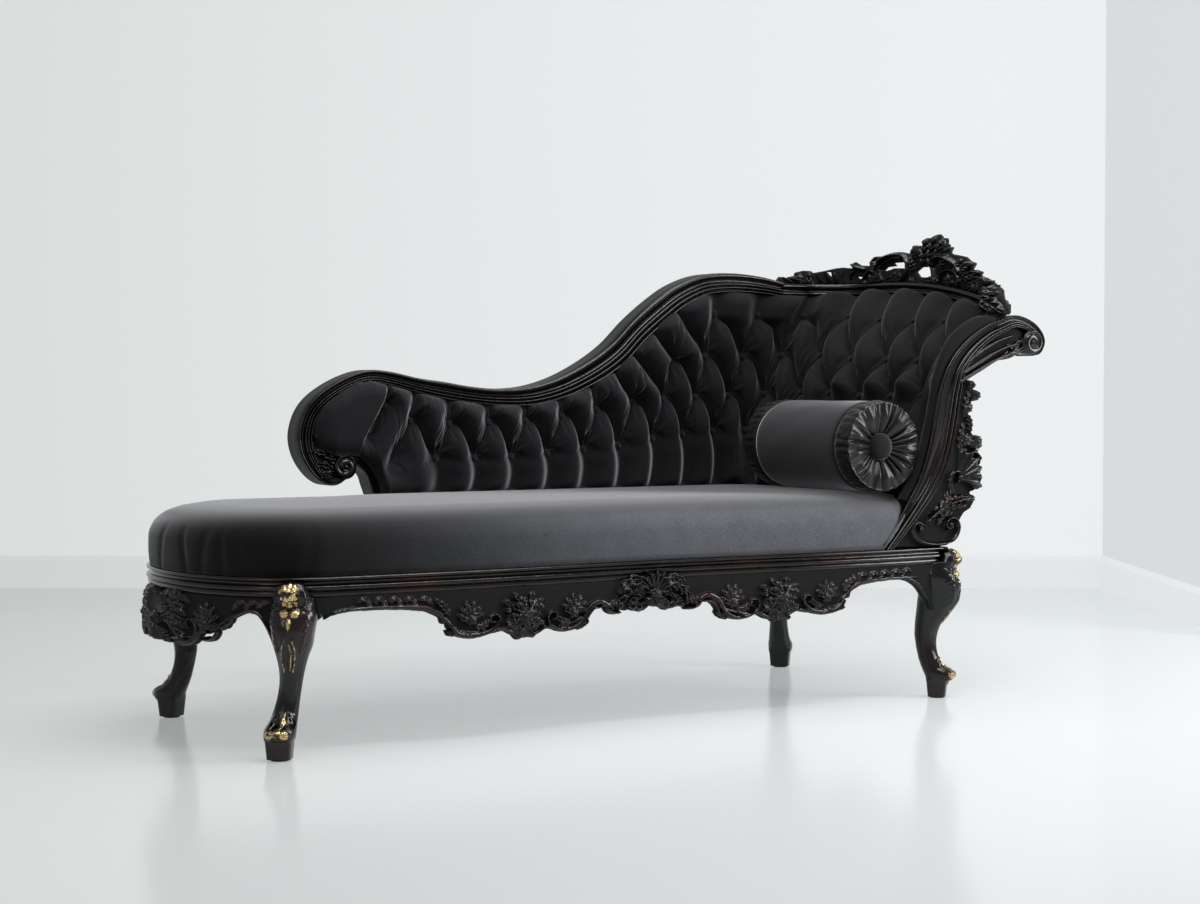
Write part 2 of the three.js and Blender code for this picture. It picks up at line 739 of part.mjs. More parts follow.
function makeBackFrame() {
  const feather = backFrameFront + reedDepth;
  const rail = joined([
    band(backBandShares, backFrameFront, backFrameBack, backStations),
    eye(...backEyeShare, backEyeRadius, backFrameFront - reedDepth, backFrameBack),
    plate(upright(featherShares), feather, backFrameBack),
  ]);
  add('back_top_rail', rail, ebony);
  const post = plate(upright(footPostShares), backFrameFront + reedDepth, backFrameBack)
    .translate(0, 0, gap);
  add('back_foot_post', cut(post, [grownBackRail(), backRail(gap)]), ebony);

  const layer = [wallY + padBase + gap, wallY + padBase + frameLayer - gap];
  const left = uprightX(footPostShares[7][0]) + gap * 2;
  const right = headFaceX(railTop, cornerRun) - cornerRadius;
  add('back_base_rail', boxAt(left, right, wallY + gap, layer[1], railTop + gap, padBottom - gap), beech);
  [0.3, 0.72].forEach((share, i) => {
    const x = mix(left, right, share);
    const half = slatWidth / 2;
    const top = Math.min(along(panelTop, x - half), along(panelTop, x + half));
    const stile = boxAt(x - half, x + half, ...layer, padBottom, top + bandWidth / 4);
    add(`back_stile_${i + 1}`, cut(stile, [grownBackRail()]), beech);
  });
}

// The back's top rail a little larger, to cut what meets it
function grownBackRail() {
  const grown = backBandShares.map(([x, z, w]) => [x, z, w + (2 * gap) / bandWidth]);
  return joined([
    band(grown, backFrameFront - gap, backFrameBack + gap, backStations),
    eye(...backEyeShare, backEyeRadius + gap, backFrameFront - reedDepth - gap, backFrameBack + gap),
    plate(grownOutline(upright(featherShares), gap), backFrameFront, backFrameBack + gap),
  ]);
}

// An outline pushed out square to its sides
function grownOutline(outline, by) {
  const points = outline.map(([x, z]) => new THREE.Vector2(x, z));
  const way = Math.sign(THREE.ShapeUtils.area(points));
  const out = (a, b) => new THREE.Vector2(b.y - a.y, a.x - b.x).normalize().multiplyScalar(way);
  return points.map((p, i) => {
    const before = out(points[(i + points.length - 1) % points.length], p);
    const after = out(p, points[(i + 1) % points.length]);
    const both = before.clone().add(after).normalize();
    const moved = p.clone().addScaledVector(both, by / Math.max(both.dot(after), 0.4));
    return [moved.x, moved.y];
  });
}

// Swell of the buttoned padding: nought at a button, one on the crown of a diamond
function rowZero(run) {
  return rowLevel - rowFall * (1 - ease(run, rowFallStart, rowFallEnd));
}

function panelTopZ(run) {
  if (run >= cornerRun) return headTopZ(run) - panelGap;
  let z = rowLevel;
  for (let i = 0; i < 4; i++) z = along(panelTop, wallPlan(run, z, 0)[0]) - panelGap;
  return z;
}

function swell(run, z) {
  const wide = Math.max(run - wideStart, 0);
  const column = (Math.min(run, wideStart) - buttonStart) / buttonPitch + wide / wideButtonPitch;
  const topRow = Math.floor((panelTopZ(run) - rowZero(run) - topPleat) / rowPitch);
  const row = THREE.MathUtils.clamp((z - rowZero(run)) / rowPitch, -2, topRow);
  const [p, q] = [column + row / 2, column - row / 2];
  const diamond = Math.pow(Math.abs(Math.sin(Math.PI * p) * Math.sin(Math.PI * q)), 0.6);
  return run < -lobeEdge ? 0.8 : diamond;
}

function padOut(run, z, top, foot) {
  const edge = Math.min(top - z, run < -lobeEdge ? z - foot : padRise * 2, run - panelStart);
  const border = Math.sqrt(THREE.MathUtils.clamp(edge / padRise, 0, 1));
  // behind the seat the padding lies flat
  const seatTop = railTop + seatEdge + seatCrown;
  const clear = run < -lobeEdge ? 1 : ease(z, seatTop - seatCrown / 2, seatTop + padRise);
  // the bolster presses the lower padding of the head flat
  const y = wallPlan(run, z, 0)[1];
  const pressed = run > cornerRun && y < bolsterBack + padRise ? ease(z, padBottom, padBottom + padRise)
    * (1 - ease(z, railTop + seatEdge + 2 * bolsterRadius, railTop + seatEdge + 2.4 * bolsterRadius)) : 0;
  return padRise * border * clear * swell(run, z) * (1 - pressed);
}

const padRows = 14;
const panelRows = 10;
function makeBackPad() {
  const columns = 46;
  const run = (i) => mix(panelStart, cornerRun - gap, i / columns);
  const foot = (i) => (run(i) < panelFoot[panelFoot.length - 1][0]
    ? along(panelFoot, run(i)) + panelGap : padBottom);
  const z = (i, j) => mix(foot(i), panelTopZ(run(i)), j / padRows);
  const front = (i, j) => wall(run(i), z(i, j), padOut(run(i), z(i, j), panelTopZ(run(i)), foot(i)));
  const back = (i, j) => wallPlan(run(i), z(i, j), -padBase);
  const pad = slab(columns, padRows, front, back, true);
  add('back_upholstery', largest(cut(pad, [grownBackRail(), grownFootPost()])), velvet);

  // outside back: a lined board in the same outline
  const border = [];
  const side = (i, height) => [wallPlan(run(i), height, 0)[0], height];
  for (let i = 0; i <= columns; i += 2) {
    if (foot(i) > padBottom) border.push(side(i, foot(i)));
  }
  border.push([uprightX(footPostShares[7][0]), railTop + gap]);
  for (let j = 0; j < panelRows; j++) {
    border.push(side(columns, mix(railTop + gap, panelTopZ(cornerRun), j / panelRows)));
  }
  for (let i = columns; i >= 0; i -= 2) border.push(side(i, panelTopZ(run(i))));
  const y0 = wallY + padBase + frameLayer;
  const panel = plate(border, y0, y0 + panelLayer);
  add('outside_back_panel', largest(cut(panel, [grownBackRail(), grownFootPost()])), lining);
}

function grownFootPost() {
  return plate(grownOutline(upright(footPostShares), 2 * gap), backFrameFront, backFrameBack + gap);
}

// Slab that follows the corner and the head between two levels of padding
function headSlab(columns, rows, lowZ, highZ, nearOut, farOut, from = cornerRun + gap, to = headRunEnd) {
  const run = (i) => mix(from, to, i / columns);
  const z = (i, j) => mix(lowZ, highZ(run(i)), j / rows);
  return slab(
    columns, rows,
    (i, j) => nearOut(run(i), z(i, j)),
    (i, j) => wallPlan(run(i), z(i, j), farOut),
  );
}

// Stations of the moulded rail on top of the head; the crest bends at the same ones
const railStations = 26;
const railRun = (i) => mix(crestStart, padRunEnd, i / (railStations - 1));

function makeHead() {
  const level = (out) => (run, z) => wallPlan(run, z, out);
  const padTop = (run) => headTopZ(run) - panelGap;
  const pad = headSlab(27, padRows, padBottom, padTop,
    (run, z) => wall(run, z, padOut(run, z, padTop(run), padBottom)), -padBase, cornerRun + gap, padRunEnd);
  add('head_upholstery', largest(cut(pad, [headPost(gap)])), velvet);
  const outside = (grow) => headSlab(14, panelRows, railTop + gap - grow, (run) => padTop(run) + grow,
    level(-padBase - frameLayer + grow), -padBase - frameLayer - panelLayer);
  const base = headSlab(12, 3, railTop + gap, () => padBottom - gap, level(-gap),
    -padBase - frameLayer);
  add('head_base_rail', cut(base, [outside(gap)]), beech);
  add('outside_head_panel', outside(0), lining);

  // moulded top rail from the end of the back's band round the corner to the front scroll
  const h = headTopRailHeight;
  const section = [
    [headTopRailFront - reedDepth, 0], [headTopRailFront, h * 0.15], [headTopRailFront, h * 0.35],
    [headTopRailFront - reedDepth, h * 0.5], [headTopRailFront, h * 0.65], [headTopRailFront, h * 0.85],
    [headTopRailFront - reedDepth, h], [-headTopRailBack, h], [-headTopRailBack, 0],
  ];
  const rail = sweep(railStations, () => section, (i, out, up) => {
    const z = headTopZ(railRun(i));
    const [x, y] = wallPlan(railRun(i), z, out);
    return [x, y, z + up];
  });
  add('head_top_rail', cut(rail, [grownBackRail()]), ebony);
}

// Front post of the head: a reeded scroll that rolls over at the top
const postBandShares = [
  [0.664, 0, 0.469], [0.704, 0.057, 0.594], [0.749, 0.125, 0.781], [0.793, 0.202, 0.969],
  [0.826, 0.302, 1.094], [0.844, 0.401, 1.094], [0.857, 0.482, 1.031], [0.877, 0.553, 0.844],
  [0.917, 0.614, 0.719], [0.97, 0.662, 0.594], [1.018, 0.688, 0.5], [1.063, 0.703, 0.438],
  [1.114, 0.683, 0.375], [1.141, 0.646, 0.312], [1.133, 0.613, 0.266], [1.112, 0.604, 0.234],
];
const postEyeShare = [1.108, 0.635];
const postEyeRadius = 24;
const postStations = 32;
const postLeafShares = [
  [0.886, 0.504], [0.942, 0.534], [1.003, 0.574], [1.066, 0.597], [1.102, 0.619], [1.099, 0.659],
  [1.047, 0.687], [0.974, 0.654], [0.911, 0.591],
];
const bracketShares = [
  [0.681, 0], [0.723, 0.052], [0.784, 0.128], [0.827, 0.196], [0.85, 0.251], [0.867, 0.319],
  [0.877, 0.387], [0.89, 0.469], [0.907, 0.512], [0.943, 0.514], [0.947, 0.47], [0.926, 0.433],
  [0.913, 0.41], [0.924, 0.36], [0.949, 0.33], [0.957, 0.298], [0.953, 0.251], [0.942, 0.208],
  [0.917, 0.166], [0.934, 0.154], [0.926, 0.116], [0.89, 0.083], [0.886, 0.056], [0.868, 0.025],
  [0.844, 0],
];

function headPost(grow) {
  const shares = postBandShares.map(([x, z, w]) => [x, z, w + (2 * grow) / bandWidth]);
  const leaf = grownOutline(upright(postLeafShares), grow);
  return joined([
    band(shares, -postFront - grow, -postBack + grow, postStations),
    eye(...postEyeShare, postEyeRadius + grow, -postFront - reedDepth - grow, -postBack + grow),
    plate(leaf, -postFront + reedDepth * 2 - grow, -postBack + grow),
  ]);
}

// Carved scroll, leaf and rose, drawn in a flat field and pressed from its back plane

function scroll(cx, cy, radius, start, turn, thick, back, front) {
  const count = Math.max(8, Math.round(Math.abs(turn) * 2.6));
  const place = (i, a, b) => {
    const t = i / (count - 1);
    const angle = start + turn * t;
    const r = radius * (1 - 0.62 * t) + a;
    return [cx + r * Math.cos(angle), cy + r * Math.sin(angle), b];
  };
  const outline = (i) => {
    const t = i / (count - 1);
    const half = thick * (0.55 + 0.45 * Math.sin(Math.PI * Math.min(1, t * 1.2 + 0.1)));
    return [[-half, back], [half, back], [half * 0.7, mix(back, front, 0.8)], [0, front],
      [-half * 0.7, mix(back, front, 0.8)]];
  };
  return sweep(count, outline, place);
}

function leaf(cx, cy, angle, length, width, back, front) {
  const widths = [0.4, 1, 0.8, 0.12];
  const bends = [0, 0.04, 0.15, 0.36];
  const place = (i, a, b) => {
    const out = (length * i) / (widths.length - 1);
    const side = a + length * bends[i];
    return [
      cx + out * Math.cos(angle) - side * Math.sin(angle),
      cy + out * Math.sin(angle) + side * Math.cos(angle),
      b,
    ];
  };
  const outline = (i) => {
    const half = (width * widths[i]) / 2;
    const lift = mix(back, front, 0.55 + 0.45 * Math.sin((Math.PI * (i + 0.6)) / widths.length));
    return [[-half, back], [half, back], [half * 0.8, mix(back, lift, 0.7)], [0, lift],
      [-half * 0.8, mix(back, lift, 0.7)]];
  };
  return sweep(widths.length, outline, place);
}

function rose(cx, cy, radius, back, front) {
  const petals = 5;
  const sides = petals * 3;
  const place = (i, a, b) => [cx + a, cy + b, mix(back, front, [0, 0.75, 1, 0.8][i])];
  const outline = (i) => {
    const size = radius * [1, 1, 0.6, 0.3][i];
    return Array.from({ length: sides }, (_, k) => {
      const angle = (2 * Math.PI * k) / sides;
      const r = size * (1 - 0.14 * (i < 2 ? 1 : 0) * (1 + Math.cos(petals * angle)));
      return [r * Math.cos(angle), r * Math.sin(angle)];
    });
  };
  return sweep(4, outline, place);
}

// Outline and pierced openings of the crest, straight along its run: shares of its length and height
const crestOutlineShares = [
  [0, -0.06], [0.002, 0.064], [0.009, 0.138], [0.023, 0.09], [0.036, 0.145], [0.048, 0.143],
  [0.051, 0.231], [0.077, 0.276], [0.1, 0.273], [0.109, 0.233], [0.141, 0.275], [0.174, 0.327],
  [0.197, 0.343], [0.226, 0.322], [0.217, 0.393], [0.235, 0.451], [0.252, 0.375], [0.29, 0.354],
  [0.302, 0.455], [0.317, 0.474], [0.319, 0.542], [0.342, 0.529], [0.38, 0.572], [0.436, 0.588],
  [0.492, 0.543], [0.501, 0.642], [0.529, 0.71], [0.56, 0.716], [0.565, 0.829], [0.61, 0.937],
  [0.63, 0.962], [0.64, 0.926], [0.655, 0.799], [0.679, 0.784], [0.678, 0.667], [0.692, 0.607],
  [0.766, 0.607], [0.799, 0.517], [0.773, 0.382], [0.769, 0.329], [0.825, 0.393], [0.854, 0.305],
  [0.883, 0.323], [0.914, 0.288], [0.94, 0.21], [0.966, 0.11], [0.995, -0.056], [1.02, 0.02],
  [1.02, -0.06],
];
const crestHoleShares = [
  [[0.335, 0.219], [0.356, 0.306], [0.404, 0.319], [0.39, 0.383], [0.451, 0.39], [0.473, 0.326],
    [0.471, 0.252], [0.423, 0.27], [0.389, 0.265]],
  [[0.51, 0.196], [0.538, 0.29], [0.601, 0.328], [0.602, 0.253], [0.591, 0.096], [0.528, 0.097]],
  [[0.24, 0.147], [0.274, 0.123], [0.259, 0.045]],
  [[0.272, 0.192], [0.303, 0.16], [0.287, 0.085]],
  [[0.15, 0.25], [0.162, 0.249], [0.164, 0.15]],
];
// Straps, leaves and scrolls carved on it: width, width of the tip, rise and line
const crestStrapShares = [
  [0.085, 0.045, 0.85, [
    [0.322, 0.312], [0.34, 0.451], [0.375, 0.52], [0.427, 0.543], [0.468, 0.487], [0.482, 0.333],
    [0.476, 0.164], [0.451, 0.028], [0.405, -0.024],
  ]],
  [0.045, 0.023, 0.6, [[0.329, 0.276], [0.367, 0.394], [0.408, 0.47], [0.445, 0.472]]],
  [0.125, 0.057, 1, [
    [0.607, 0.354], [0.62, 0.464], [0.657, 0.531], [0.701, 0.49], [0.738, 0.43], [0.753, 0.306],
  ]],
  [0.062, 0.051, 0.8, [
    [0.648, 0.095], [0.661, 0.218], [0.694, 0.293], [0.731, 0.287], [0.748, 0.165], [0.735, 0.022],
    [0.694, -0.065], [0.661, -0.031],
  ]],
  [0.097, 0.057, 0.7, [
    [0.59, 0.454], [0.61, 0.272], [0.619, 0.025], [0.639, -0.146], [0.694, -0.166], [0.775, -0.082],
  ]],
  [0.068, 0.045, 0.55, [
    [0.205, -0.127], [0.261, -0.176], [0.352, -0.186], [0.45, -0.148], [0.547, -0.184],
  ]],
  [0.068, 0.023, 0.75, [[0.187, -0.126], [0.151, -0.049], [0.128, 0.074], [0.118, 0.214]]],
  [0.068, 0.023, 0.75, [[0.198, -0.144], [0.168, -0.008], [0.151, 0.138], [0.144, 0.261]]],
  [0.074, 0.023, 0.8, [[0.214, -0.152], [0.187, 0.014], [0.174, 0.176], [0.174, 0.313]]],
  [0.074, 0.023, 0.8, [[0.227, -0.148], [0.204, 0.013], [0.195, 0.16], [0.201, 0.328]]],
  [0.074, 0.028, 0.8, [[0.241, -0.156], [0.221, 0.011], [0.222, 0.171], [0.244, 0.313]]],
  [0.068, 0.028, 0.7, [[0.266, 0.294], [0.243, 0.333], [0.221, 0.401]]],
  [0.062, 0.028, 0.7, [[0.251, -0.14], [0.255, 0.005], [0.273, 0.147], [0.295, 0.286]]],
  [0.085, 0.028, 0.8, [[0.297, 0.242], [0.301, 0.4], [0.31, 0.527]]],
  [0.097, 0.034, 0.8, [[0.109, -0.126], [0.073, -0.03], [0.059, 0.096], [0.058, 0.218]]],
  [0.097, 0.04, 0.8, [[0.129, -0.142], [0.096, -0.004], [0.087, 0.144], [0.096, 0.261]]],
  [0.074, 0.028, 0.6, [[0.068, -0.101], [0.037, 0.009], [0.016, 0.12]]],
  [0.131, 0.114, 0.9, [[0.559, 0.341], [0.567, 0.51], [0.575, 0.708], [0.582, 0.871]]],
  [0.142, 0.125, 1, [[0.59, 0.349], [0.601, 0.547], [0.619, 0.748], [0.63, 0.929]]],
  [0.125, 0.097, 0.9, [[0.612, 0.439], [0.638, 0.616], [0.66, 0.792], [0.665, 0.899]]],
  [0.097, 0.062, 0.8, [[0.624, 0.416], [0.661, 0.583], [0.695, 0.739]]],
  [0.125, 0.04, 0.85, [[0.754, 0.247], [0.771, 0.404], [0.812, 0.528]]],
  [0.114, 0.04, 0.85, [[0.759, 0.175], [0.795, 0.287], [0.848, 0.402]]],
  [0.108, 0.04, 0.85, [[0.769, 0.075], [0.819, 0.21], [0.877, 0.317]]],
  [0.102, 0.04, 0.8, [[0.779, -0.024], [0.841, 0.139], [0.907, 0.322]]],
  [0.097, 0.04, 0.7, [[0.79, -0.107], [0.863, 0.071], [0.935, 0.275]]],
];
// Roses: place, size and rise
const crestRoseShares = [
  [0.321, 0.087, 0.17, 0.95], [0.423, 0.145, 0.125, 0.8], [0.7, 0.121, 0.114, 0.95],
  [0.576, -0.036, 0.097, 0.8], [0.5, 0.012, 0.074, 0.7], [0.523, 0.6, 0.119, 0.9],
  [0.266, -0.026, 0.08, 0.6],
];

// A carved strap along a drawn line, fullest in its first half and tapering to the tip
function strap(line, width, tip, back, front) {
  const last = line.length - 1;
  const place = (i, a, b) => {
    const [x0, y0] = line[Math.max(i - 1, 0)];
    const [x1, y1] = line[Math.min(i + 1, last)];
    const size = Math.hypot(x1 - x0, y1 - y0);
    return [line[i][0] - (a * (y1 - y0)) / size, line[i][1] + (a * (x1 - x0)) / size, b];
  };
  const outline = (i) => {
    const half = mix(width, tip, Math.max(0, (2 * i) / last - 1)) / 2;
    return [[-half, back], [half, back], [half * 0.5, front], [-half * 0.5, front]];
  };
  return sweep(line.length, outline, place);
}

// The same surface with its faces parted at planes across X, so that it can bend at each
function parted(geometry, planes) {
  const clean = welded(geometry);
  const positions = [...clean.getAttribute('position').array];
  let faces = [...clean.index.array];
  for (const plane of planes) {
    const cuts = new Map();
    const crossing = (a, b) => {
      const key = [Math.min(a, b), Math.max(a, b)].join();
      if (!cuts.has(key)) {
        const t = (plane - positions[a * 3]) / (positions[b * 3] - positions[a * 3]);
        const point = [1, 2].map((k) => mix(positions[a * 3 + k], positions[b * 3 + k], t));
        cuts.set(key, positions.length / 3);
        positions.push(plane, ...point);
      }
      return cuts.get(key);
    };
    const kept = [];
    for (let i = 0; i < faces.length; i += 3) {
      const face = faces.slice(i, i + 3);
      const beyond = face.map((v) => positions[v * 3] >= plane);
      const count = beyond.filter(Boolean).length;
      if (count === 0 || count === 3) {
        kept.push(...face);
        continue;
      }
      const lone = beyond.indexOf(count === 1);
      const [a, b, c] = [0, 1, 2].map((k) => face[(lone + k) % 3]);
      const [ab, ca] = [crossing(a, b), crossing(a, c)];
      kept.push(a, ab, ca, ab, b, c, ab, c, ca);
    }
    faces = kept;
  }
  return welded(closedGeometry(positions, faces));
}

function makeCrest() {
  const back = -crestSet - crestDepth;
  const board = -crestSet - crestRelief;
  const rooted = mix(back, board, 0.5);
  const front = (rise) => mix(board, -crestSet, rise);
  const span = crestEnd - crestStart;
  const flat = (shares) => shares.map(([u, v]) => [crestStart + u * span, v * crestHeight]);
  const points = (shares) => flat(shares).map(([x, y]) => new THREE.Vector2(x, y));
  const shape = new THREE.Shape(points(crestOutlineShares).reverse());
  for (const hole of crestHoleShares) shape.holes.push(new THREE.Path(points(hole)));
  const parts = [
    new THREE.ExtrudeGeometry(shape, { depth: board - back, bevelEnabled: false }).translate(0, 0, back),
  ];
  for (const [width, tip, rise, line] of crestStrapShares) {
    parts.push(strap(flat(line), width * crestHeight, tip * crestHeight, rooted, front(rise)));
  }
  for (const [u, v, r, rise] of crestRoseShares) {
    const [[x, y]] = flat([[u, v]]);
    parts.push(rose(x, y, r * crestHeight, rooted, front(rise)));
  }
  const above = solidOf(boxAt(crestStart, crestEnd, 0, 2 * crestHeight, 2 * back, 0));
  const planes = Array.from({ length: railStations }, (_, i) => railRun(i))
    .filter((run) => run > crestStart && run < crestEnd);
  const bend = (geometry, i) => {
    const trimmed = geometryOf(solidOf(geometry).intersect(above));
    const shaped = i ? trimmed : parted(trimmed, planes);
    const p = shaped.getAttribute('position');
    for (let k = 0; k < p.count; k++) {
      const base = headTopZ(p.getX(k));
      const [px, py] = wallPlan(p.getX(k), base, p.getZ(k));
      p.setXYZ(k, px, py, base + headTopRailHeight + gap + p.getY(k));
    }
    return shaped;
  };
  const whole = largest(cut(joined(parts.map(bend)), [grownBackRail()]));
  add('crest_carving', geometryOf(solidOf(whole).simplify(crestGrain)), ebony);
}

const bracketScrollShares = [
  [0.855, 0.072, 0.045, -2.4, 5.4, 0.011], [0.75, 0.05, 0.03, 0.6, 4.6, 0.009],
  [0.9, 0.245, 0.062, -0.6, 4.4, 0.014], [0.862, 0.225, 0.032, 1.6, 4.4, 0.009],
];
const bracketLeafShares = [
  [0.8, 0.1, 0.6, 0.13, 0.035], [0.83, 0.13, 0.2, 0.1, 0.035], [0.88, 0.3, 0.4, 0.07, 0.03],
  [0.9, 0.38, 1.2, 0.08, 0.025], [0.925, 0.47, 1.9, 0.05, 0.025],
];
const bracketRoseShares = [[0.928, 0.345, 0.02], [0.93, 0.492, 0.018]];

function makeHeadPost() {
  const rails = [frontRail(gap), headRail(gap)];
  add('head_post_front', largest(cut(headPost(0), rails)), ebony);
  const back = bracketSet - postFront;
  const board = plate(upright(bracketShares), back, back + bracketDepth).translate(0, 0, gap);
  const flip = (geometry) => {
    const p = geometry.getAttribute('position');
    for (let i = 0; i < p.count; i++) p.setXYZ(i, p.getX(i), -p.getZ(i), p.getY(i));
    return closedGeometry([...p.array], [...geometry.index.array]);
  };
  const [deep, proud] = [-back - bracketDepth / 2, -back + reedDepth * 2];
  const parts = [board];
  for (const [x, z, r, start, turn, thick] of bracketScrollShares) {
    parts.push(flip(scroll(uprightX(x), uprightZ(z), r * backRise, start, turn, thick * backRise, deep, proud)));
  }
  for (const [x, z, angle, length, width] of bracketLeafShares) {
    parts.push(flip(leaf(uprightX(x), uprightZ(z), angle, length * backRise, width * backRise, deep, proud)));
  }
  for (const [x, z, r] of bracketRoseShares) {
    parts.push(flip(rose(uprightX(x), uprightZ(z), r * backRise, deep, proud)));
  }
  add('head_bracket', largest(cut(joined(parts), [headPost(gap), ...rails])), ebony);
}

// Seat: a crowned cushion with a rounded foot end, dressed over the rails
function seatOutline(inset, z) {
  const points = [];
  const edge = seatInset + inset;
  const half = 16;
  for (let k = 0; k <= half; k++) {
    const angle = mix(-Math.PI / 2, Math.PI / 2, k / half);
    points.push(roundPlace(angle, edge));
  }
  const backX = [-wellReach, wellRun - wellReach];
  const backY = backFrameFront - 4 * gap - inset * 0.4;
  points.push([backX[0], backDepth - edge], [backX[1], backY], [0, backY]);
  const inner = wallY - backY;
  for (const share of [0, 0.25, 0.5, 0.75, 1]) {
    const [x, y] = wallPlan(mix(cornerRun, cornerEnd, share), z, inner);
    points.push([x, y]);
  }
  for (const share of [0.35, 0.7, 1]) {
    const [x, y] = wallPlan(mix(cornerEnd, headRunEnd, share), z, seatGap + inset * 0.4);
    points.push([x, y]);
  }
  const endX = points[points.length - 1][0] - reedDepth;
  points.push([endX, -postFront + edge + reedDepth]);
  for (const share of [0.8, 0.6, 0.4, 0.2]) {
    const x = mix(roundX, endX, share);
    points.push([x, frontFace(x) + edge]);
  }
  return points;
}

// Inset and height of the seat's levels, as shares of its rounding, bulge, edge and crown
const seatLevelShares = [
  [0, 0, 0, 0], [0, -1, 0.4, 0], [0, -0.7, 0.56, 0], [0.08, 0, 0.7, 0], [0.3, 0, 0.84, 0],
  [0.65, 0, 0.95, 0], [1.2, 0, 1, 0.35], [2.6, 0, 1, 0.85],
];

function makeSeat() {
  const levels = seatLevelShares.map(([round, bulge, edge, crown]) => [
    round * seatRound + bulge * seatBulge,
    Math.max(edge * seatEdge, gap) + crown * seatCrown,
  ]);
  const cushion = sweep(
    levels.length,
    (i) => seatOutline(levels[i][0], railTop + levels[i][1]),
    (i, x, y) => [x, y, railTop + levels[i][1]],
    () => [(headReach - footReach) / 2 - cornerRadius, 0],
  );
  add('seat_cushion', cut(cushion, [headPost(2 * gap)]), velvet);
}

// A sheet of cloth across the frame, inside the outer face of the rails by a lap
function seatSheet(lap, z, thickness) {
  const outline = [];
  const half = 14;
  for (let k = 0; k <= half; k++) {
    outline.push(roundPlace(mix(-Math.PI / 2, Math.PI / 2, k / half), lap));
  }
  outline.push([headReach - lap, backDepth - lap], [headReach - lap, -frontDepth + serpentine + lap]);
  outline.push([roundX, -frontDepth + serpentine + lap]);
  const shape = new THREE.Shape(outline.map(([x, y]) => new THREE.Vector2(x, y)));
  return new THREE.ExtrudeGeometry(shape, { depth: thickness, bevelEnabled: false }).translate(0, 0, z);
}

function makeUnderside(envelopes) {
  const inside = railDepth + gap;
  add('seat_hessian', seatSheet(inside + gap, railTop - sheetThickness, sheetThickness), jute);
  add('seat_webbing', seatSheet(inside + gap, legHeight + slatDepth + gap, sheetThickness), jute);
  const cover = seatSheet(railStep + apronSet, legHeight - railDrop - gap - sheetThickness, sheetThickness);
  add('dust_cover', largest(cut(cover, envelopes)), lining);
  const z = legHeight - railDrop;
  for (const leg of legs) {
    const [sx, sy] = [Math.sign(leg.x), Math.sign(leg.y)];
    const cornerX = sx > 0 ? headReach - inside : -(footReach - roundReach);
    const cornerY = sy > 0 ? backDepth - inside : -frontDepth + inside + serpentine;
    const shape = boxAt(
      Math.min(cornerX, cornerX - sx * blockSize), Math.max(cornerX, cornerX - sx * blockSize),
      Math.min(cornerY, cornerY - sy * blockSize), Math.max(cornerY, cornerY - sy * blockSize),
      z, legHeight,
    );
    add(`corner_block_${leg.name}`, cut(shape, [frontRail(gap), footRail(gap)]), beech);
  }
  [-0.6, -0.05, 0.5].forEach((share, i) => {
    const x = share * footReach;
    add(`seat_slat_${i + 1}`, boxAt(
      x - slatWidth / 2, x + slatWidth / 2,
      -frontDepth + serpentine + inside, backDepth - inside,
      legHeight, legHeight + slatDepth,
    ), beech);
  });
}

function makeBolster() {
  const z = railTop + seatEdge + seatCrown * 0.85 + bolsterRadius + bolsterLift;
  const [y0, y1] = [-bolsterFront, bolsterBack];
  const profile = [
    [0, 0.12], [0.3, 0.03], [0.52, 0], [0.72, 0.01], [0.86, 0.04], [0.94, 0.08], [0.98, 0.14],
    [1, 0.5],
  ];
  const full = [...profile, ...profile.slice(0, -1).reverse().map(([r, s]) => [r, 1 - s])];
  const sides = 32;
  const turned = new THREE.LatheGeometry(
    full.map(([r, s]) => new THREE.Vector2(r * bolsterRadius, mix(0, y1 - y0, endShare(s)))), sides,
  ).translate(bolsterX, y0, z);
  add('bolster_cover', turned, velvet);
  const end = endShare(1) - endShare(1 - 0.12);
  const recess = end * (y1 - y0);
  const dome = [[0, -recess + 2 * gap], [1, -recess * 0.2], [1, gap], [0.7, recess * 0.4], [0, recess * 0.6]];
  const button = new THREE.LatheGeometry(
    dome.map(([r, y]) => new THREE.Vector2(r * bolsterButton, y)), 16,
  );
  add('bolster_button_back', button.clone().translate(bolsterX, y1, z), velvet);
  add('bolster_button_front', button.rotateX(Math.PI).translate(bolsterX, y0, z), velvet);
}

// Ends of the bolster keep their own depth whatever its length
function endShare(share) {
  const end = (bolsterRadius * 0.9) / (bolsterFront + bolsterBack);
  return share <= 0.14 ? share * end : share >= 0.86 ? 1 - (1 - share) * end : share;
}

const envelopes = makeLegsAndRails();
makeAprons(envelopes);
makeBackFrame();
makeBackPad();
makeHead();
makeHeadPost();
makeCrest();
makeSeat();
makeUnderside(envelopes);
makeBolster();

const bounds = new THREE.Box3().setFromObject(couch);
const centre = bounds.getCenter(new THREE.Vector3());
couch.position.set(-centre.x, -centre.y, -bounds.min.z);

export default couch;
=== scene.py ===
import math

import bmesh
import bpy
import numpy as np
from mathutils import Matrix, Vector


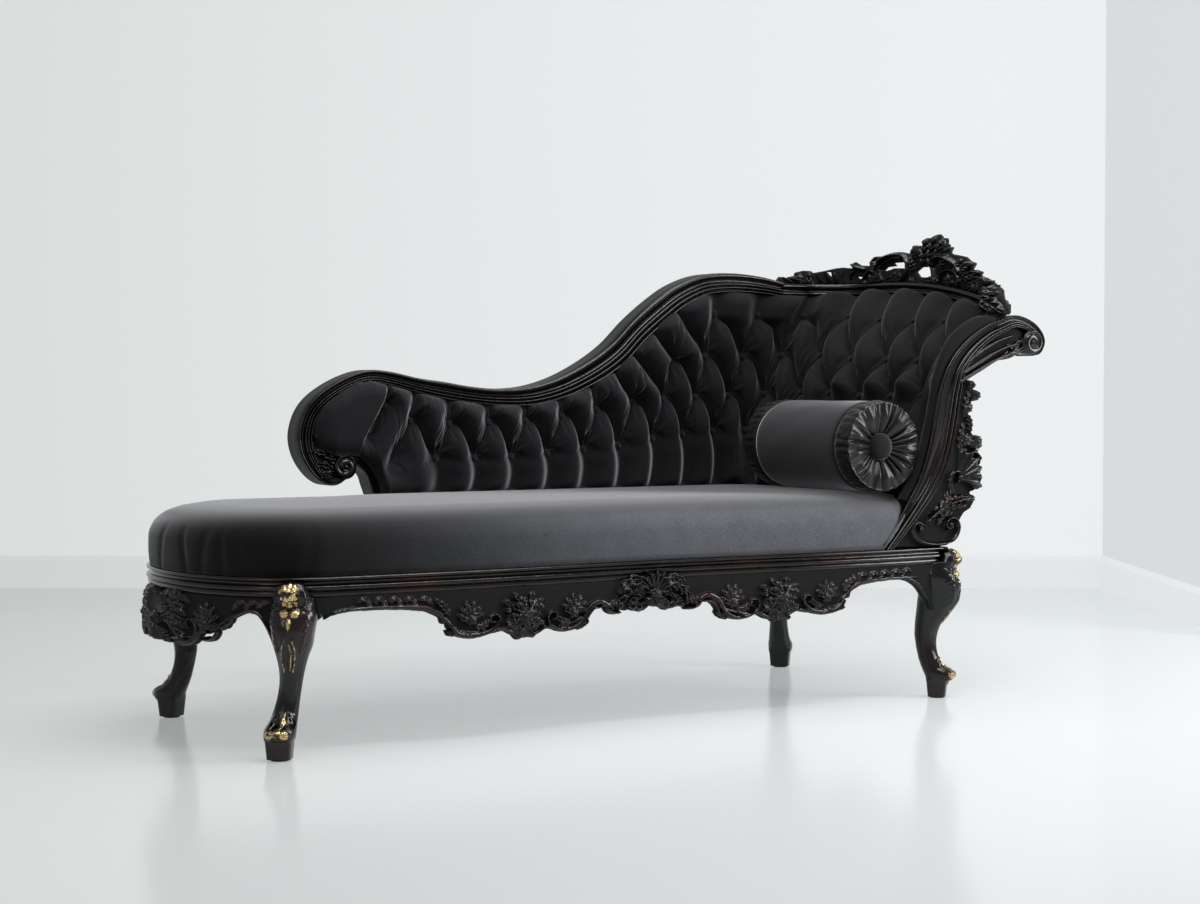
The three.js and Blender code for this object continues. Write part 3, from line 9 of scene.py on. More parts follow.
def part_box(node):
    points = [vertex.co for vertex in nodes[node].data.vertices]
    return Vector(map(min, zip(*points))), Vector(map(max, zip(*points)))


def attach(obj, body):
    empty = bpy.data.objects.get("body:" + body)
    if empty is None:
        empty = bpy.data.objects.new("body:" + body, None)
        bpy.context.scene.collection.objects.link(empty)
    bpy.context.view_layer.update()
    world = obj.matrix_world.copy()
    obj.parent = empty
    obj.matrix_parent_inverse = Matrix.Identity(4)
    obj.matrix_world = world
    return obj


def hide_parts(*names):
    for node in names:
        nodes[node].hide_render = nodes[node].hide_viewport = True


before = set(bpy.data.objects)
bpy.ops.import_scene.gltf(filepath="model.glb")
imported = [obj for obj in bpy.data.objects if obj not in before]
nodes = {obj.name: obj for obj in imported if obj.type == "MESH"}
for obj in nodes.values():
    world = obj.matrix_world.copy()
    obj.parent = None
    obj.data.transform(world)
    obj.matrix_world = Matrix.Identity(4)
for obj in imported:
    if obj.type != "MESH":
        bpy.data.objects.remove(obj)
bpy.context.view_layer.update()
mm = 0.001
legPlace = (802, 307)

# the CAD's own origin lies between the four feet
footLow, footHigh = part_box("glide_front_foot")
shiftX = (footLow.x + footHigh.x) / 2 + legPlace[0] * mm

# lengths and levels of the CAD, in mm
couch = {
    "railTop": 346, "backRise": 734, "backLength": 955, "footReach": 930, "headReach": 815,
    "roundReach": 230, "frontDepth": 330, "backDepth": 345, "legHeight": 309, "railHeight": 37,
    "serpentine": 9, "wallY": 312, "cornerRun": 644, "cornerRadius": 135, "fanStart": 250,
    "postFront": 335, "postBack": 275, "backFront": 300, "bandWidth": 64, "headTopDrop": 60,
    "seatTop": 473,
}
roundStart = couch["roundReach"] - couch["footReach"]
roundHalf = (couch["frontDepth"] + couch["backDepth"]) / 2
cornerEnd = couch["cornerRun"] + couch["cornerRadius"] * math.pi / 2
headRunEnd = cornerEnd + couch["wallY"] - couch["cornerRadius"] + couch["postBack"] - 0.4
padRunEnd = headRunEnd + couch["postFront"] - couch["postBack"] - 8


def hexColour(text):
    # sRGB hex to linear
    parts = [int(text[i:i + 2], 16) / 255 for i in (1, 3, 5)]
    return [c / 12.92 if c <= 0.04045 else ((c + 0.055) / 1.055) ** 2.4 for c in parts] + [1]


def addNode(tree, kind, inputs=None, **settings):
    # one node with its settings; an input is a value or the socket it is linked from
    node = tree.nodes.new(kind)
    for key, value in settings.items():
        setattr(node, key, value)
    for key, value in (inputs or {}).items():
        if isinstance(value, bpy.types.NodeSocket):
            tree.links.new(value, node.inputs[key])
        else:
            node.inputs[key].default_value = value
    return node


def newMaterial(name):
    material = bpy.data.materials.new(name)
    material.use_nodes = True
    material.node_tree.nodes.clear()
    return material, material.node_tree


def smoothStep(value, low, high):
    t = np.clip((value - low) / (high - low), 0, 1)
    return t * t * (3 - 2 * t)


def curved(path, steps=7):
    # a smooth line through the points of a path
    path = np.asarray(path, float)
    ends = np.vstack([2 * path[0] - path[1], path, 2 * path[-1] - path[-2]])
    t = np.linspace(0, 1, steps, endpoint=False)[:, None]
    pieces = []
    for a, b, c, d in zip(ends[:-3], ends[1:-2], ends[2:-1], ends[3:]):
        square, cube = 2 * a - 5 * b + 4 * c - d, 3 * b - a - 3 * c + d
        pieces.append(0.5 * (2 * b + (c - a) * t + square * t ** 2 + cube * t ** 3))
    return np.vstack(pieces + [path[-1:]])


def spaced(line, shares, values=None):
    # a line's own points, or other values given along it, at shares of the way
    steps = np.concatenate([[0], np.cumsum(np.linalg.norm(np.diff(line, axis=0), axis=1))])
    values = line if values is None else values
    return np.stack([np.interp(shares * steps[-1], steps, column) for column in values.T], -1)


def toModel(x, y, z):
    # work millimetres to the frame's metres
    x, y, z = np.broadcast_arrays(x, y, z)
    return np.stack([x * mm + shiftX, y * mm, z * mm], axis=-1).reshape(-1, 3)


def gridFaces(columns, rows, start=0):
    # quads between columns of rows + 1 points
    i, j = np.meshgrid(np.arange(columns), np.arange(rows), indexing="ij")
    side = rows + 1
    quads = np.stack([i * side + j, (i + 1) * side + j, (i + 1) * side + j + 1, i * side + j + 1], -1)
    return (quads.reshape(-1, 4) + start).tolist()


def makePiece(name, points, faces, material, body="frame"):
    mesh = bpy.data.meshes.new(name)
    mesh.from_pydata(np.asarray(points).tolist(), [], faces)
    shell = bmesh.new()
    shell.from_mesh(mesh)
    bmesh.ops.recalc_face_normals(shell, faces=shell.faces)
    shell.to_mesh(mesh)
    shell.free()
    mesh.polygons.foreach_set("use_smooth", [True] * len(mesh.polygons))
    mesh.materials.append(material)
    piece = bpy.data.objects.new(name, mesh)
    bpy.context.scene.collection.objects.link(piece)
    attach(piece, body)
    return piece


def paint(piece, name, values):
    # a value for each point, read by the materials
    layer = piece.data.attributes.new(name, "FLOAT", "POINT")
    layer.data.foreach_set("value", np.asarray(values, np.float32).ravel())


def ringFaces(rings):
    # quads from ring to ring, each of as many points
    size = len(rings[0])
    return [[a + i, a + (i + 1) % size, a + size + (i + 1) % size, a + size + i]
            for a in range(0, (len(rings) - 1) * size, size) for i in range(size)]


def sweepRings(rings):
    # the same, closed at both ends
    size = len(rings[0])
    return ringFaces(rings) + [list(range(size)), [(len(rings) - 1) * size + i for i in range(size)]]



def makeVelvet(name, dark, light, catch, near=None, shade=None):
    # cotton velvet: near black face on, silvery where the pile is seen edge on; pressed, darker and glossy where a
    # point attribute marks gathered cloth, which on the seat's foot end only paints shade, and paler where another
    # point attribute paints light. catch is the light the pile catches, shade the same at the head end, where the
    # colour is also painted darker as shade; near is the tone painted at the foot end as shade
    material, tree = newMaterial(name)
    place = addNode(tree, "ShaderNodeTexCoord").outputs["Object"]
    brushed = addNode(tree, "ShaderNodeTexNoise", {"Vector": place, "Scale": 22, "Detail": 3})
    pile = addNode(tree, "ShaderNodeTexNoise", {"Vector": place, "Scale": 420, "Detail": 2})
    tone = addNode(tree, "ShaderNodeMix", {0: brushed.outputs[0], 6: hexColour(dark), 7: hexColour(light)},
                   data_type="RGBA")
    fleck = addNode(tree, "ShaderNodeMapRange", {0: pile.outputs[0], 1: 0.35, 2: 0.7, 3: 0.75, 4: 1.25})
    # painted shade: the colour darkens towards the foot end, down to the tone near
    if near:
        axes = addNode(tree, "ShaderNodeSeparateXYZ", {0: place})
        along = addNode(tree, "ShaderNodeMapRange", {0: axes.outputs[0], 1: -0.86, 2: 0.05, 3: 0, 4: 1})
        tone = addNode(tree, "ShaderNodeMix", {0: along.outputs[0], 6: hexColour(near), 7: tone.outputs[2]},
                       data_type="RGBA")
    sheen, scales = catch, [fleck]
    # painted shade: towards the head end the sheen drops to shade and the colour is painted down to half
    if shade is not None:
        axes = addNode(tree, "ShaderNodeSeparateXYZ", {0: place})
        sheen = addNode(tree, "ShaderNodeMapRange", {
            0: axes.outputs[0], 1: 0.28, 2: 0.62, 3: catch, 4: shade}).outputs[0]
        scales.append(addNode(tree, "ShaderNodeMapRange", {0: sheen, 1: shade, 2: catch, 3: 0.5, 4: 1}))
    bump = addNode(tree, "ShaderNodeBump", {"Height": pile.outputs[0], "Strength": 0.25, "Distance": 0.0008})
    # painted light: the colour is paler, up to 2.8 times, where this attribute is high
    paintedFrontLight = addNode(tree, "ShaderNodeAttribute", attribute_name="paintedFrontLight")
    scales.append(addNode(tree, "ShaderNodeMapRange", {0: paintedFrontLight.outputs[2], 1: 0, 2: 1, 3: 1, 4: 2.8}))
    # darker with less sheen where this attribute is high, glossy above 0.6; at 0.6 or less, on the seat's foot end,
    # it only paints shade
    satinAndShadeAttribute = addNode(tree, "ShaderNodeAttribute", attribute_name="satinAndPaintedShade")
    pressedAndShaded = addNode(tree, "ShaderNodeMapRange", {0: satinAndShadeAttribute.outputs[2], 1: 0, 2: 1, 3: 1, 4: 0.12})
    colour = tone.outputs[2]
    for scale in scales + [pressedAndShaded]:
        colour = addNode(tree, "ShaderNodeVectorMath", {0: colour, 3: scale.outputs[0]}, operation="SCALE").outputs[0]
    sheen = addNode(tree, "ShaderNodeMath", {0: sheen, 1: pressedAndShaded.outputs[0]}, operation="MULTIPLY").outputs[0]
    rough = addNode(tree, "ShaderNodeMapRange", {0: satinAndShadeAttribute.outputs[2], 1: 0.6, 2: 1, 3: 0.85, 4: 0.24})
    gloss = addNode(tree, "ShaderNodeMapRange", {0: satinAndShadeAttribute.outputs[2], 1: 0.6, 2: 1, 3: 0.2, 4: 0.42})
    shader = addNode(tree, "ShaderNodeBsdfPrincipled", {
        "Base Color": colour, "Roughness": rough.outputs[0], "Normal": bump.outputs[0],
        "Specular IOR Level": gloss.outputs[0], "Sheen Weight": sheen, "Sheen Roughness": 0.36,
        "Sheen Tint": hexColour("#f2f2f6"),
    })
    addNode(tree, "ShaderNodeOutputMaterial", {"Surface": shader.outputs[0]})
    return material


def makeEbonised():
    # carved hardwood stained black and waxed, rubbed through to red-brown, its punched ground left dull
    # and its knee ornaments touched with gold leaf that has cracked
    material, tree = newMaterial("ebonisedWood")
    place = addNode(tree, "ShaderNodeTexCoord").outputs["Object"]
    cloud = addNode(tree, "ShaderNodeTexNoise", {"Vector": place, "Scale": 7, "Detail": 4, "Roughness": 0.6})
    grain = addNode(tree, "ShaderNodeMapping", {"Vector": place, "Scale": (18, 130, 130)})
    fibres = addNode(tree, "ShaderNodeTexNoise", {"Vector": grain.outputs[0], "Scale": 3, "Detail": 3})
    axes = addNode(tree, "ShaderNodeSeparateXYZ", {0: place})
    handled = addNode(tree, "ShaderNodeMapRange", {0: axes.outputs[2], 1: 0.38, 2: 0.6, 3: 0.62, 4: 0.2})
    worn = addNode(tree, "ShaderNodeMapRange", {0: cloud.outputs[0], 1: 0.48, 2: 0.66, 3: 0, 4: handled.outputs[0]})
    stain = addNode(tree, "ShaderNodeMix", {0: worn.outputs[0], 6: hexColour("#040303"), 7: hexColour("#2c0f0a")},
                    data_type="RGBA")
    ground = addNode(tree, "ShaderNodeAttribute", attribute_name="ground")
    colour = addNode(tree, "ShaderNodeMix", {0: ground.outputs[2], 6: stain.outputs[2], 7: hexColour("#0c0c0e")},
                     data_type="RGBA")
    gloss = addNode(tree, "ShaderNodeMapRange", {0: fibres.outputs[0], 1: 0.3, 2: 0.7, 3: 0.12, 4: 0.2})
    dulled = addNode(tree, "ShaderNodeMath", {0: gloss.outputs[0], 1: ground.outputs[2]}, operation="ADD",
                     use_clamp=True)
    gilt = addNode(tree, "ShaderNodeAttribute", attribute_name="gilt")
    flakes = addNode(tree, "ShaderNodeTexVoronoi", {"Vector": place, "Scale": 260}, feature="DISTANCE_TO_EDGE")
    rubbed = addNode(tree, "ShaderNodeTexNoise", {"Vector": place, "Scale": 60, "Detail": 3})
    whole = addNode(tree, "ShaderNodeMapRange", {0: flakes.outputs[0], 1: 0.02, 2: 0.1, 3: 0, 4: 1})
    patchy = addNode(tree, "ShaderNodeMapRange", {0: rubbed.outputs[0], 1: 0.36, 2: 0.46, 3: 0, 4: 1})
    kept = addNode(tree, "ShaderNodeMath", {0: whole.outputs[0], 1: patchy.outputs[0]}, operation="MULTIPLY")
    leaf = addNode(tree, "ShaderNodeMath", {0: kept.outputs[0], 1: gilt.outputs[2]}, operation="MULTIPLY",
                   use_clamp=True)
    finish = addNode(tree, "ShaderNodeMix", {0: leaf.outputs[0], 6: colour.outputs[2], 7: hexColour("#e9cf93")},
                     data_type="RGBA")
    punched = addNode(tree, "ShaderNodeTexNoise", {"Vector": place, "Scale": 330, "Detail": 1})
    marks = addNode(tree, "ShaderNodeMath", {0: punched.outputs[0], 1: ground.outputs[2], 2: fibres.outputs[0]},
                    operation="MULTIPLY_ADD")
    bump = addNode(tree, "ShaderNodeBump", {"Height": marks.outputs[0], "Strength": 0.3, "Distance": 0.0009})
    wood = addNode(tree, "ShaderNodeBsdfPrincipled", {
        "Base Color": colour.outputs[2], "Roughness": dulled.outputs[0], "Normal": bump.outputs[0],
        "Specular IOR Level": 0.42,
    })
    gold = addNode(tree, "ShaderNodeBsdfPrincipled", {
        "Base Color": finish.outputs[2], "Roughness": 0.3, "Metallic": 1.0, "Normal": bump.outputs[0]})
    both = addNode(tree, "ShaderNodeMixShader", {0: leaf.outputs[0], 1: wood.outputs[0], 2: gold.outputs[0]})
    addNode(tree, "ShaderNodeOutputMaterial", {"Surface": both.outputs[0]})
    return material


def makeBeech():
    # sawn beech: warm tan with short dark flecks
    material, tree = newMaterial("sawnBeech")
    place = addNode(tree, "ShaderNodeTexCoord").outputs["Object"]
    grain = addNode(tree, "ShaderNodeMapping", {"Vector": place, "Scale": (20, 260, 260)})
    fleck = addNode(tree, "ShaderNodeTexNoise", {"Vector": grain.outputs[0], "Scale": 2, "Detail": 4})
    colour = addNode(tree, "ShaderNodeMix", {0: fleck.outputs[0], 6: hexColour("#86633f"), 7: hexColour("#b2905f")},
                     data_type="RGBA")
    bump = addNode(tree, "ShaderNodeBump", {"Height": fleck.outputs[0], "Strength": 0.2, "Distance": 0.0005})
    shader = addNode(tree, "ShaderNodeBsdfPrincipled", {
        "Base Color": colour.outputs[2], "Roughness": 0.65, "Normal": bump.outputs[0]})
    addNode(tree, "ShaderNodeOutputMaterial", {"Surface": shader.outputs[0]})
    return material


def makeCloth(name, dark, light, thread, rough):
    # plain woven cloth: two sets of threads crossing, thread is their spacing in mm
    material, tree = newMaterial(name)
    place = addNode(tree, "ShaderNodeTexCoord").outputs["Object"]
    step = 1000 / thread
    warp, weft = [addNode(tree, "ShaderNodeTexWave", {"Vector": place, "Scale": step / 20, "Distortion": 0.6},
                          bands_direction=way) for way in "XY"]
    weave = addNode(tree, "ShaderNodeMath", {0: warp.outputs[1], 1: weft.outputs[1]}, operation="MULTIPLY")
    colour = addNode(tree, "ShaderNodeMix", {0: weave.outputs[0], 6: hexColour(dark), 7: hexColour(light)},
                     data_type="RGBA")
    bump = addNode(tree, "ShaderNodeBump", {"Height": weave.outputs[0], "Strength": 0.4, "Distance": 0.0006})
    shader = addNode(tree, "ShaderNodeBsdfPrincipled", {
        "Base Color": colour.outputs[2], "Roughness": rough, "Normal": bump.outputs[0]})
    addNode(tree, "ShaderNodeOutputMaterial", {"Surface": shader.outputs[0]})
    return material


# the wall's velvet is painted darker towards the head end as shade
velvet = makeVelvet("cottonVelvet", "#0e0e10", "#19191d", 0.5, shade=0.12)
bolsterVelvet = makeVelvet("cottonVelvetBolster", "#0d0d0f", "#17171a", 0.85)
# the seat's velvet: a paler copy of the wall's cloth as painted light, painted darker at the foot end as shade
seatVelvet = makeVelvet("cottonVelvetPaintedLightAndShade", "#2a2b2e", "#36373b", 0.84, near="#060607")
ebonised = makeEbonised()
beech = makeBeech()
blackLining = makeCloth("cottonLining", "#131212", "#232222", 1.5, 0.9)
jute = makeCloth("juteWebbing", "#6f5b3c", "#9c8459", 3, 0.95)
felt = makeCloth("woolFelt", "#2b2724", "#45403a", 2, 1)
print("materials made")

# the buttoned wall: a straight back, a rounded corner and the rolled head

wall = {
    "frontShares": [(0.65, 0), (0.824, 0.213), (0.827, 0.544), (1.031, 0.729)],
    "cornerShares": [(0.65, 0), (0.82, 0.213), (0.801, 0.591), (1.05, 0.811)],
    "panelTop": [
        (-0.496, 0.39), (-0.489, 0.396), (-0.466, 0.439), (-0.426, 0.477), (-0.385, 0.504),
        (-0.349, 0.512), (-0.283, 0.491), (-0.223, 0.473), (-0.157, 0.456), (-0.073, 0.441),
        (0, 0.434), (0.108, 0.442), (0.224, 0.481), (0.318, 0.545), (0.393, 0.622), (0.459, 0.706),
        (0.515, 0.76), (0.578, 0.8), (0.64, 0.815), (0.783, 0.812), (0.901, 0.809)],
    "panelFoot": [
        (-0.496, 0.33), (-0.476, 0.298), (-0.445, 0.284), (-0.406, 0.284), (-0.38, 0.28),
        (-0.357, 0.258), (-0.338, 0.227), (-0.327, 0.192), (-0.32, 0.157), (-0.312, 0.135)],
}


def uprightX(share):
    return np.asarray(share) * couch["backLength"]


def uprightZ(share):
    return couch["railTop"] + np.asarray(share) * couch["backRise"]


def headMorph(run):
    t = np.clip((run - cornerEnd) / (headRunEnd - cornerEnd), 0, 1)
    return 1 - t ** 2.33


def cubic(values, t):
    s = 1 - t
    return s ** 3 * values[0] + 3 * s * s * t * values[1] + 3 * s * t * t * values[2] + t ** 3 * values[3]


def headFace(z, run):
    # x of the head's inner face at a height
    m = headMorph(run)
    ends = list(zip(wall["frontShares"], wall["cornerShares"]))
    xs = [uprightX(f[0] * (1 - m) + c[0] * m) for f, c in ends]
    zs = [uprightZ(f[1] * (1 - m) + c[1] * m) for f, c in ends]
    low = np.zeros(np.broadcast(z, run).shape)
    high = np.ones_like(low)
    for _ in range(24):
        middle = (low + high) / 2
        below = cubic(zs, middle) < z
        low, high = np.where(below, middle, low), np.where(below, high, middle)
    return cubic(xs, (low + high) / 2)


def headTop(run):
    return uprightZ(wall["cornerShares"][3][1]) - couch["headTopDrop"] * (1 - headMorph(run))


def wallPlan(run, z, out=0):
    run, z = np.broadcast_arrays(np.asarray(run, float), np.asarray(z, float))
    radius = couch["cornerRadius"]
    startX = headFace(z, np.full_like(run, couch["cornerRun"])) - radius
    fan = couch["fanStart"]
    lean = (startX - fan) / (couch["cornerRun"] - fan)
    straightX = np.where(run <= fan, run, fan + (run - fan) * lean)
    angle = np.clip((run - couch["cornerRun"]) / radius, 0, math.pi / 2)
    centreY = couch["wallY"] - radius
    cornerX = startX + (radius - out) * np.sin(angle)
    cornerY = centreY + (radius - out) * np.cos(angle)
    onBack = run <= couch["cornerRun"]
    onCorner = run <= cornerEnd
    x = np.where(onBack, straightX, np.where(onCorner, cornerX, headFace(z, run) - out))
    y = np.where(onBack, couch["wallY"] - out, np.where(onCorner, cornerY, centreY - (run - cornerEnd)))
    return np.stack([x, y, z], -1)


def wallNormal(run, z):
    # unit vectors square to the wall, towards the sitter
    step = 0.5
    base = wallPlan(run, z)
    across = np.cross(wallPlan(run, z + step) - base, wallPlan(run + step, z) - base)
    across /= np.linalg.norm(across, axis=-1, keepdims=True)
    flip = across[..., 0] + across[..., 1] > 0
    return np.where(flip[..., None], -across, across)


def panelTop(run):
    xs, zs = [uprightX(p[0]) for p in wall["panelTop"]], [uprightZ(p[1]) for p in wall["panelTop"]]
    z = np.full_like(run, 690.0)
    for _ in range(4):
        z = np.interp(wallPlan(run, z)[..., 0], xs, zs)
    return np.where(run >= couch["cornerRun"], headTop(run), z)


tufting = {
    "rise": 41, "dome": 0.22, "plump": 0.78, "arc": 0.2, "fold": 5.6, "pleat": 7.5, "pleats": 13,
    "leftEdge": -472, "columns": 1000, "rows": 210, "backRows": 10, "padBottom": 447, "depth": 13,
    # mean spacing of the buttons across and up, and how the pleats fan out above each
    "across": 49, "up": 97, "fan": 1.3, "fanWidth": 0.5, "fanReach": 32, "fanDepth": 20,
    # extra folds: width, and place beside the sewn ones, as shares of a diamond
    "crease": 0.036, "second": 0.1, "further": (0.1, 0.21, 0.32),
    # borders under the show wood and where the pad is pulled round the post
    "topBorder": 36, "endBorder": 55, "wrapFrom": 64, "wrapTo": 12, "turn": 9,
    # how deep the seat and its corner press it in
    "seatGap": 12, "seatBorder": 26, "press": 10.5, "pressRun": 25, "onSeat": -296,
    # buttons by row, each row from its first column on: run along the wall and height, in mm
    "buttons": {
        0: (0, [(-298, 666), (-233, 632), (-134, 624), (-32, 628), (66, 630), (164, 641), (260, 655), (357, 673),
                (441, 680), (527, 685), (620, 689), (718, 692), (816, 697), (925, 696), (1045, 688),
                (1157, 688), (1263, 692), (1368, 694)]),
        -1: (-0.5, [(-347, 581), (-293, 521), (-170, 546), (-69, 545), (28, 546), (124, 554), (223, 561), (326, 568),
                    (428, 584), (514, 596), (607, 600), (700, 602), (797, 603), (896, 602), (1002, 598),
                    (1108, 596), (1212, 598), (1318, 600)]),
        1: (8.5, [(437, 781), (522, 784), (615, 786), (717, 789), (825, 789), (955, 779), (1090, 774),
                  (1197, 771), (1300, 769)]),
        2: (9, [(420, 894), (499, 892), (591, 891), (706, 890), (835, 888), (972, 876), (1098, 869),
                (1200, 865), (1300, 863)]),
    },
    # folds under the bottom row where they meet the seat
    "channels": (1.5, [(-167, 468), (-72, 468), (26, 470), (125, 473), (223, 475), (337, 475), (450, 476),
                       (562, 478), (668, 480), (762, 480)]),
}


def tuftKnots():
    knots = []
    for row, (first, spots) in tufting["buttons"].items():
        knots += [(run, z, first + k, row) for k, (run, z) in enumerate(spots)]
    first, spots = tufting["channels"]
    knots += [(run, z, first + k, -1.8) for k, (run, z) in enumerate(spots)]
    return np.array(knots, float)


def thinPlate(distance):
    return distance ** 2 * np.log(np.maximum(distance, 1e-6))


def makeLattice():
    # smooth column and row numbers that are whole or half at the buttons
    knots = tuftKnots()
    spots = knots[:, :2] / 100
    count = len(spots)
    base = thinPlate(np.linalg.norm(spots[:, None] - spots[None], axis=-1)) + np.eye(count) * 0.002
    flat = np.column_stack([np.ones(count), spots])
    system = np.block([[base, flat], [flat.T, np.zeros((3, 3))]])
    weights = np.linalg.solve(system, np.vstack([knots[:, 2:], np.zeros((3, 2))]))

    def lattice(run, z):
        run, z = np.broadcast_arrays(np.asarray(run, float) / 100, np.asarray(z, float) / 100)
        value = weights[count] + run[..., None] * weights[count + 1] + z[..., None] * weights[count + 2]
        for (x, y), weight in zip(spots, weights[:count]):
            value = value + thinPlate(np.hypot(run - x, z - y))[..., None] * weight
        return value[..., 0], value[..., 1]
    return lattice


tuftLattice = makeLattice()


def bandLine(shares, count):
    # smooth centre line of a band with its widths, and the unit vectors across it
    path = curved([(uprightX(x), uprightZ(z)) for x, z, w in shares], 12)
    widths = curved([(k, w * couch["bandWidth"]) for k, (x, z, w) in enumerate(shares)], 12)[:, 1:]
    share = np.linspace(0, 1, count)
    line, width = spaced(path, share), spaced(path, share, widths)[:, 0]
    way = np.gradient(line, axis=0)
    way /= np.linalg.norm(way, axis=1, keepdims=True)
    return line, width, np.stack([-way[:, 1], way[:, 0]], -1)


post = {
    "band": [
        (0.664, 0, 0.469), (0.704, 0.057, 0.594), (0.749, 0.125, 0.781), (0.793, 0.202, 0.969),
        (0.826, 0.302, 1.094), (0.844, 0.401, 1.094), (0.857, 0.482, 1.031), (0.877, 0.553, 0.844),
        (0.917, 0.614, 0.719), (0.97, 0.662, 0.594), (1.018, 0.688, 0.5), (1.063, 0.703, 0.438),
        (1.114, 0.683, 0.375), (1.141, 0.646, 0.312), (1.133, 0.613, 0.266), (1.112, 0.604, 0.234)],
    "eye": (1.11, 0.637, 29), "front": -335, "back": -275,
    "leaf": [
        (0.886, 0.504), (0.942, 0.534), (1.003, 0.574), (1.066, 0.597), (1.102, 0.619), (1.099, 0.659),
        (1.047, 0.687), (0.974, 0.654), (0.911, 0.591)],
}


def postInset(z):
    # how far the post's inner edge stands before the wall, so that the velvet meets its rim
    line, width, side = bandLine(post["band"][:11], 80)
    edge = line + side * width[:, None] / 2
    order = np.argsort(edge[:, 1])
    edge = edge[order]
    x = np.interp(z, edge[:, 1], edge[:, 0])
    return np.clip((headFace(z, np.full_like(z, headRunEnd)) - x + 3) / 0.87, 8, 80)


def rounded(share):
    # quarter circle from an edge
    return np.sqrt(1 - (1 - np.clip(share, 0, 1)) ** 2)


def bow(t, counter):
    # an S that swings out to 1 and back past the line
    return 6.75 * t * (1 - t) ** 2 - counter * t ** 2 * (1 - t)


def tuftHeight(run, z, top, foot):
    t = tufting
    column, row = tuftLattice(run, z)
    column = column - 0.07 * np.sin(math.pi * np.clip((-1 - row) / 0.8, 0, 1)) * (run < 700)
    held = np.clip(row, -1, 2)
    p, q = column + held / 2, column - held / 2
    fall = p - np.floor(p)
    slide = q - np.floor(q)
    # the folds leave their upper button level and drop to the lower one in an S; those of the head lean back
    head = smoothStep(run, 780, 930)
    inside = smoothStep(row, -1.35, -1) * (1 - smoothStep(row, 1.65, 2))
    rise = 1 - fall
    bowedP = p - t["arc"] * (1 - head) * inside * bow(slide, 1.6)
    bowedQ = q + t["arc"] * 0.22 * head * inside * bow(rise, 2)
    ridgeP, ridgeQ = np.abs(np.sin(math.pi * bowedP)), np.abs(np.sin(math.pi * bowedQ))
    # near the sloping frame and at the foot only one of the two folds is sewn
    least = 8 + smoothStep(row, 0.8, 1.2)
    sewn = 1 - smoothStep(row, 0, 0.4) * (1 - smoothStep(q, least - 0.5, least - 0.15))
    upright = np.sqrt(np.abs(np.sin(math.pi * (column + smoothStep(q, 5.5, 7) * held / 2))))
    ridgeQ = upright * (1 - sewn) + ridgeQ * sewn
    ridgeP = upright * (1 - sewn) + ridgeP * sewn
    stitched = smoothStep(p, 0.25, 0.7)
    ridgeP = ridgeQ * (1 - stitched) + ridgeP * stitched
    product = ridgeP * ridgeQ
    plump = product ** t["plump"]
    dome = 1 - (1 - np.minimum(product, 1)) ** 1.6
    swell = t["dome"] * dome + (1 - t["dome"]) * plump
    plain = np.maximum(smoothStep(-q, 0.06, 0.3), smoothStep(-row, 0.7, 1.3) * smoothStep(-column, -1.15, -0.75))
    swell = swell * (1 - plain) + 0.86 * plain
    # fullness gathered above each button, and more folds beside the bowed ones
    dp, dq = p - np.round(p), q - np.round(q)
    across, up = t["across"] * (dp + dq), t["up"] * (dp - dq)
    reach = np.hypot(across, up)
    angle = np.arctan2(up, across)
    seed = np.sin(np.round(p) * 12.9 + np.round(q) * 78.2) * 3
    fanned = np.where(run > 850, math.pi - t["fan"], t["fan"])
    sector = np.exp(-((angle - fanned) / t["fanWidth"]) ** 2) + 0.4 * np.exp(-((angle + 1.9) / t["fanWidth"]) ** 2)
    fan = np.sin(t["pleats"] * angle + seed) * sector
    pleats = fan * np.exp(-((reach - t["fanReach"]) / t["fanDepth"]) ** 2) * np.where(row > 2, 0, 1)
    onHead = head > 0.5
    db = np.where(onHead, np.round(bowedQ) - bowedQ, bowedP - np.round(bowedP))
    way = np.where(onHead, 1 - fall, slide)
    second = 1.2 * np.exp(-((db - t["second"]) / t["crease"]) ** 2) * np.exp(-((way - 0.32) / 0.26) ** 2)
    beside = np.where(onHead, bowedP - np.round(bowedP), np.round(bowedQ) - bowedQ)
    halfWay = np.exp(-((np.where(onHead, slide, 1 - fall) - 0.5) / 0.3) ** 2)
    for gap in t["further"]:
        second = second + (1.2 - 2 * gap) * np.exp(-((beside - gap) / t["crease"]) ** 2) * halfWay
    second = second * sewn * (1 - smoothStep(row, 1.5, 2)) * smoothStep(row, -1.2, -0.95)
    height = t["rise"] * swell + (t["pleat"] * pleats - t["fold"] * second) * (1 - plain)
    # borders under the show wood, the seat and the bolster
    border = rounded((top - z) / t["topBorder"]) * rounded((run - t["leftEdge"]) / t["endBorder"])
    onSeat = run < t["onSeat"]
    sunk = couch["seatTop"] - t["seatGap"]
    low = np.where(onSeat, (z - foot) / t["rise"], (z - sunk) / t["seatBorder"])
    y = wallPlan(run, z)[..., 1]
    leaned = np.where((run > couch["cornerRun"]) & (y < 140),
                      smoothStep(z, 447, 479) * (1 - smoothStep(z, 666, 708)), 0)
    height = height * border * rounded(low) * (1 - 0.8 * leaned)
    # below the seat's top it lies flat against the seat
    seam = couch["wallY"] - couch["backFront"] - t["press"] * smoothStep(run, cornerEnd, cornerEnd + t["pressRun"])
    tucked = seam * (1 - smoothStep(z, sunk, couch["seatTop"] + 2))
    height = np.where(onSeat, height, np.maximum(height, tucked))
    # the front edge of the head is pulled round its post
    edge = smoothStep(run, padRunEnd - t["wrapFrom"], padRunEnd - t["wrapTo"])
    past = np.clip(run - padRunEnd + t["turn"], 0, t["turn"]) / t["turn"]
    turned = t["turn"] * (1 - np.sqrt(np.clip(1 - past ** 2, 0, 1)))
    return height * (1 - edge) + edge * (postInset(z) * border - turned)


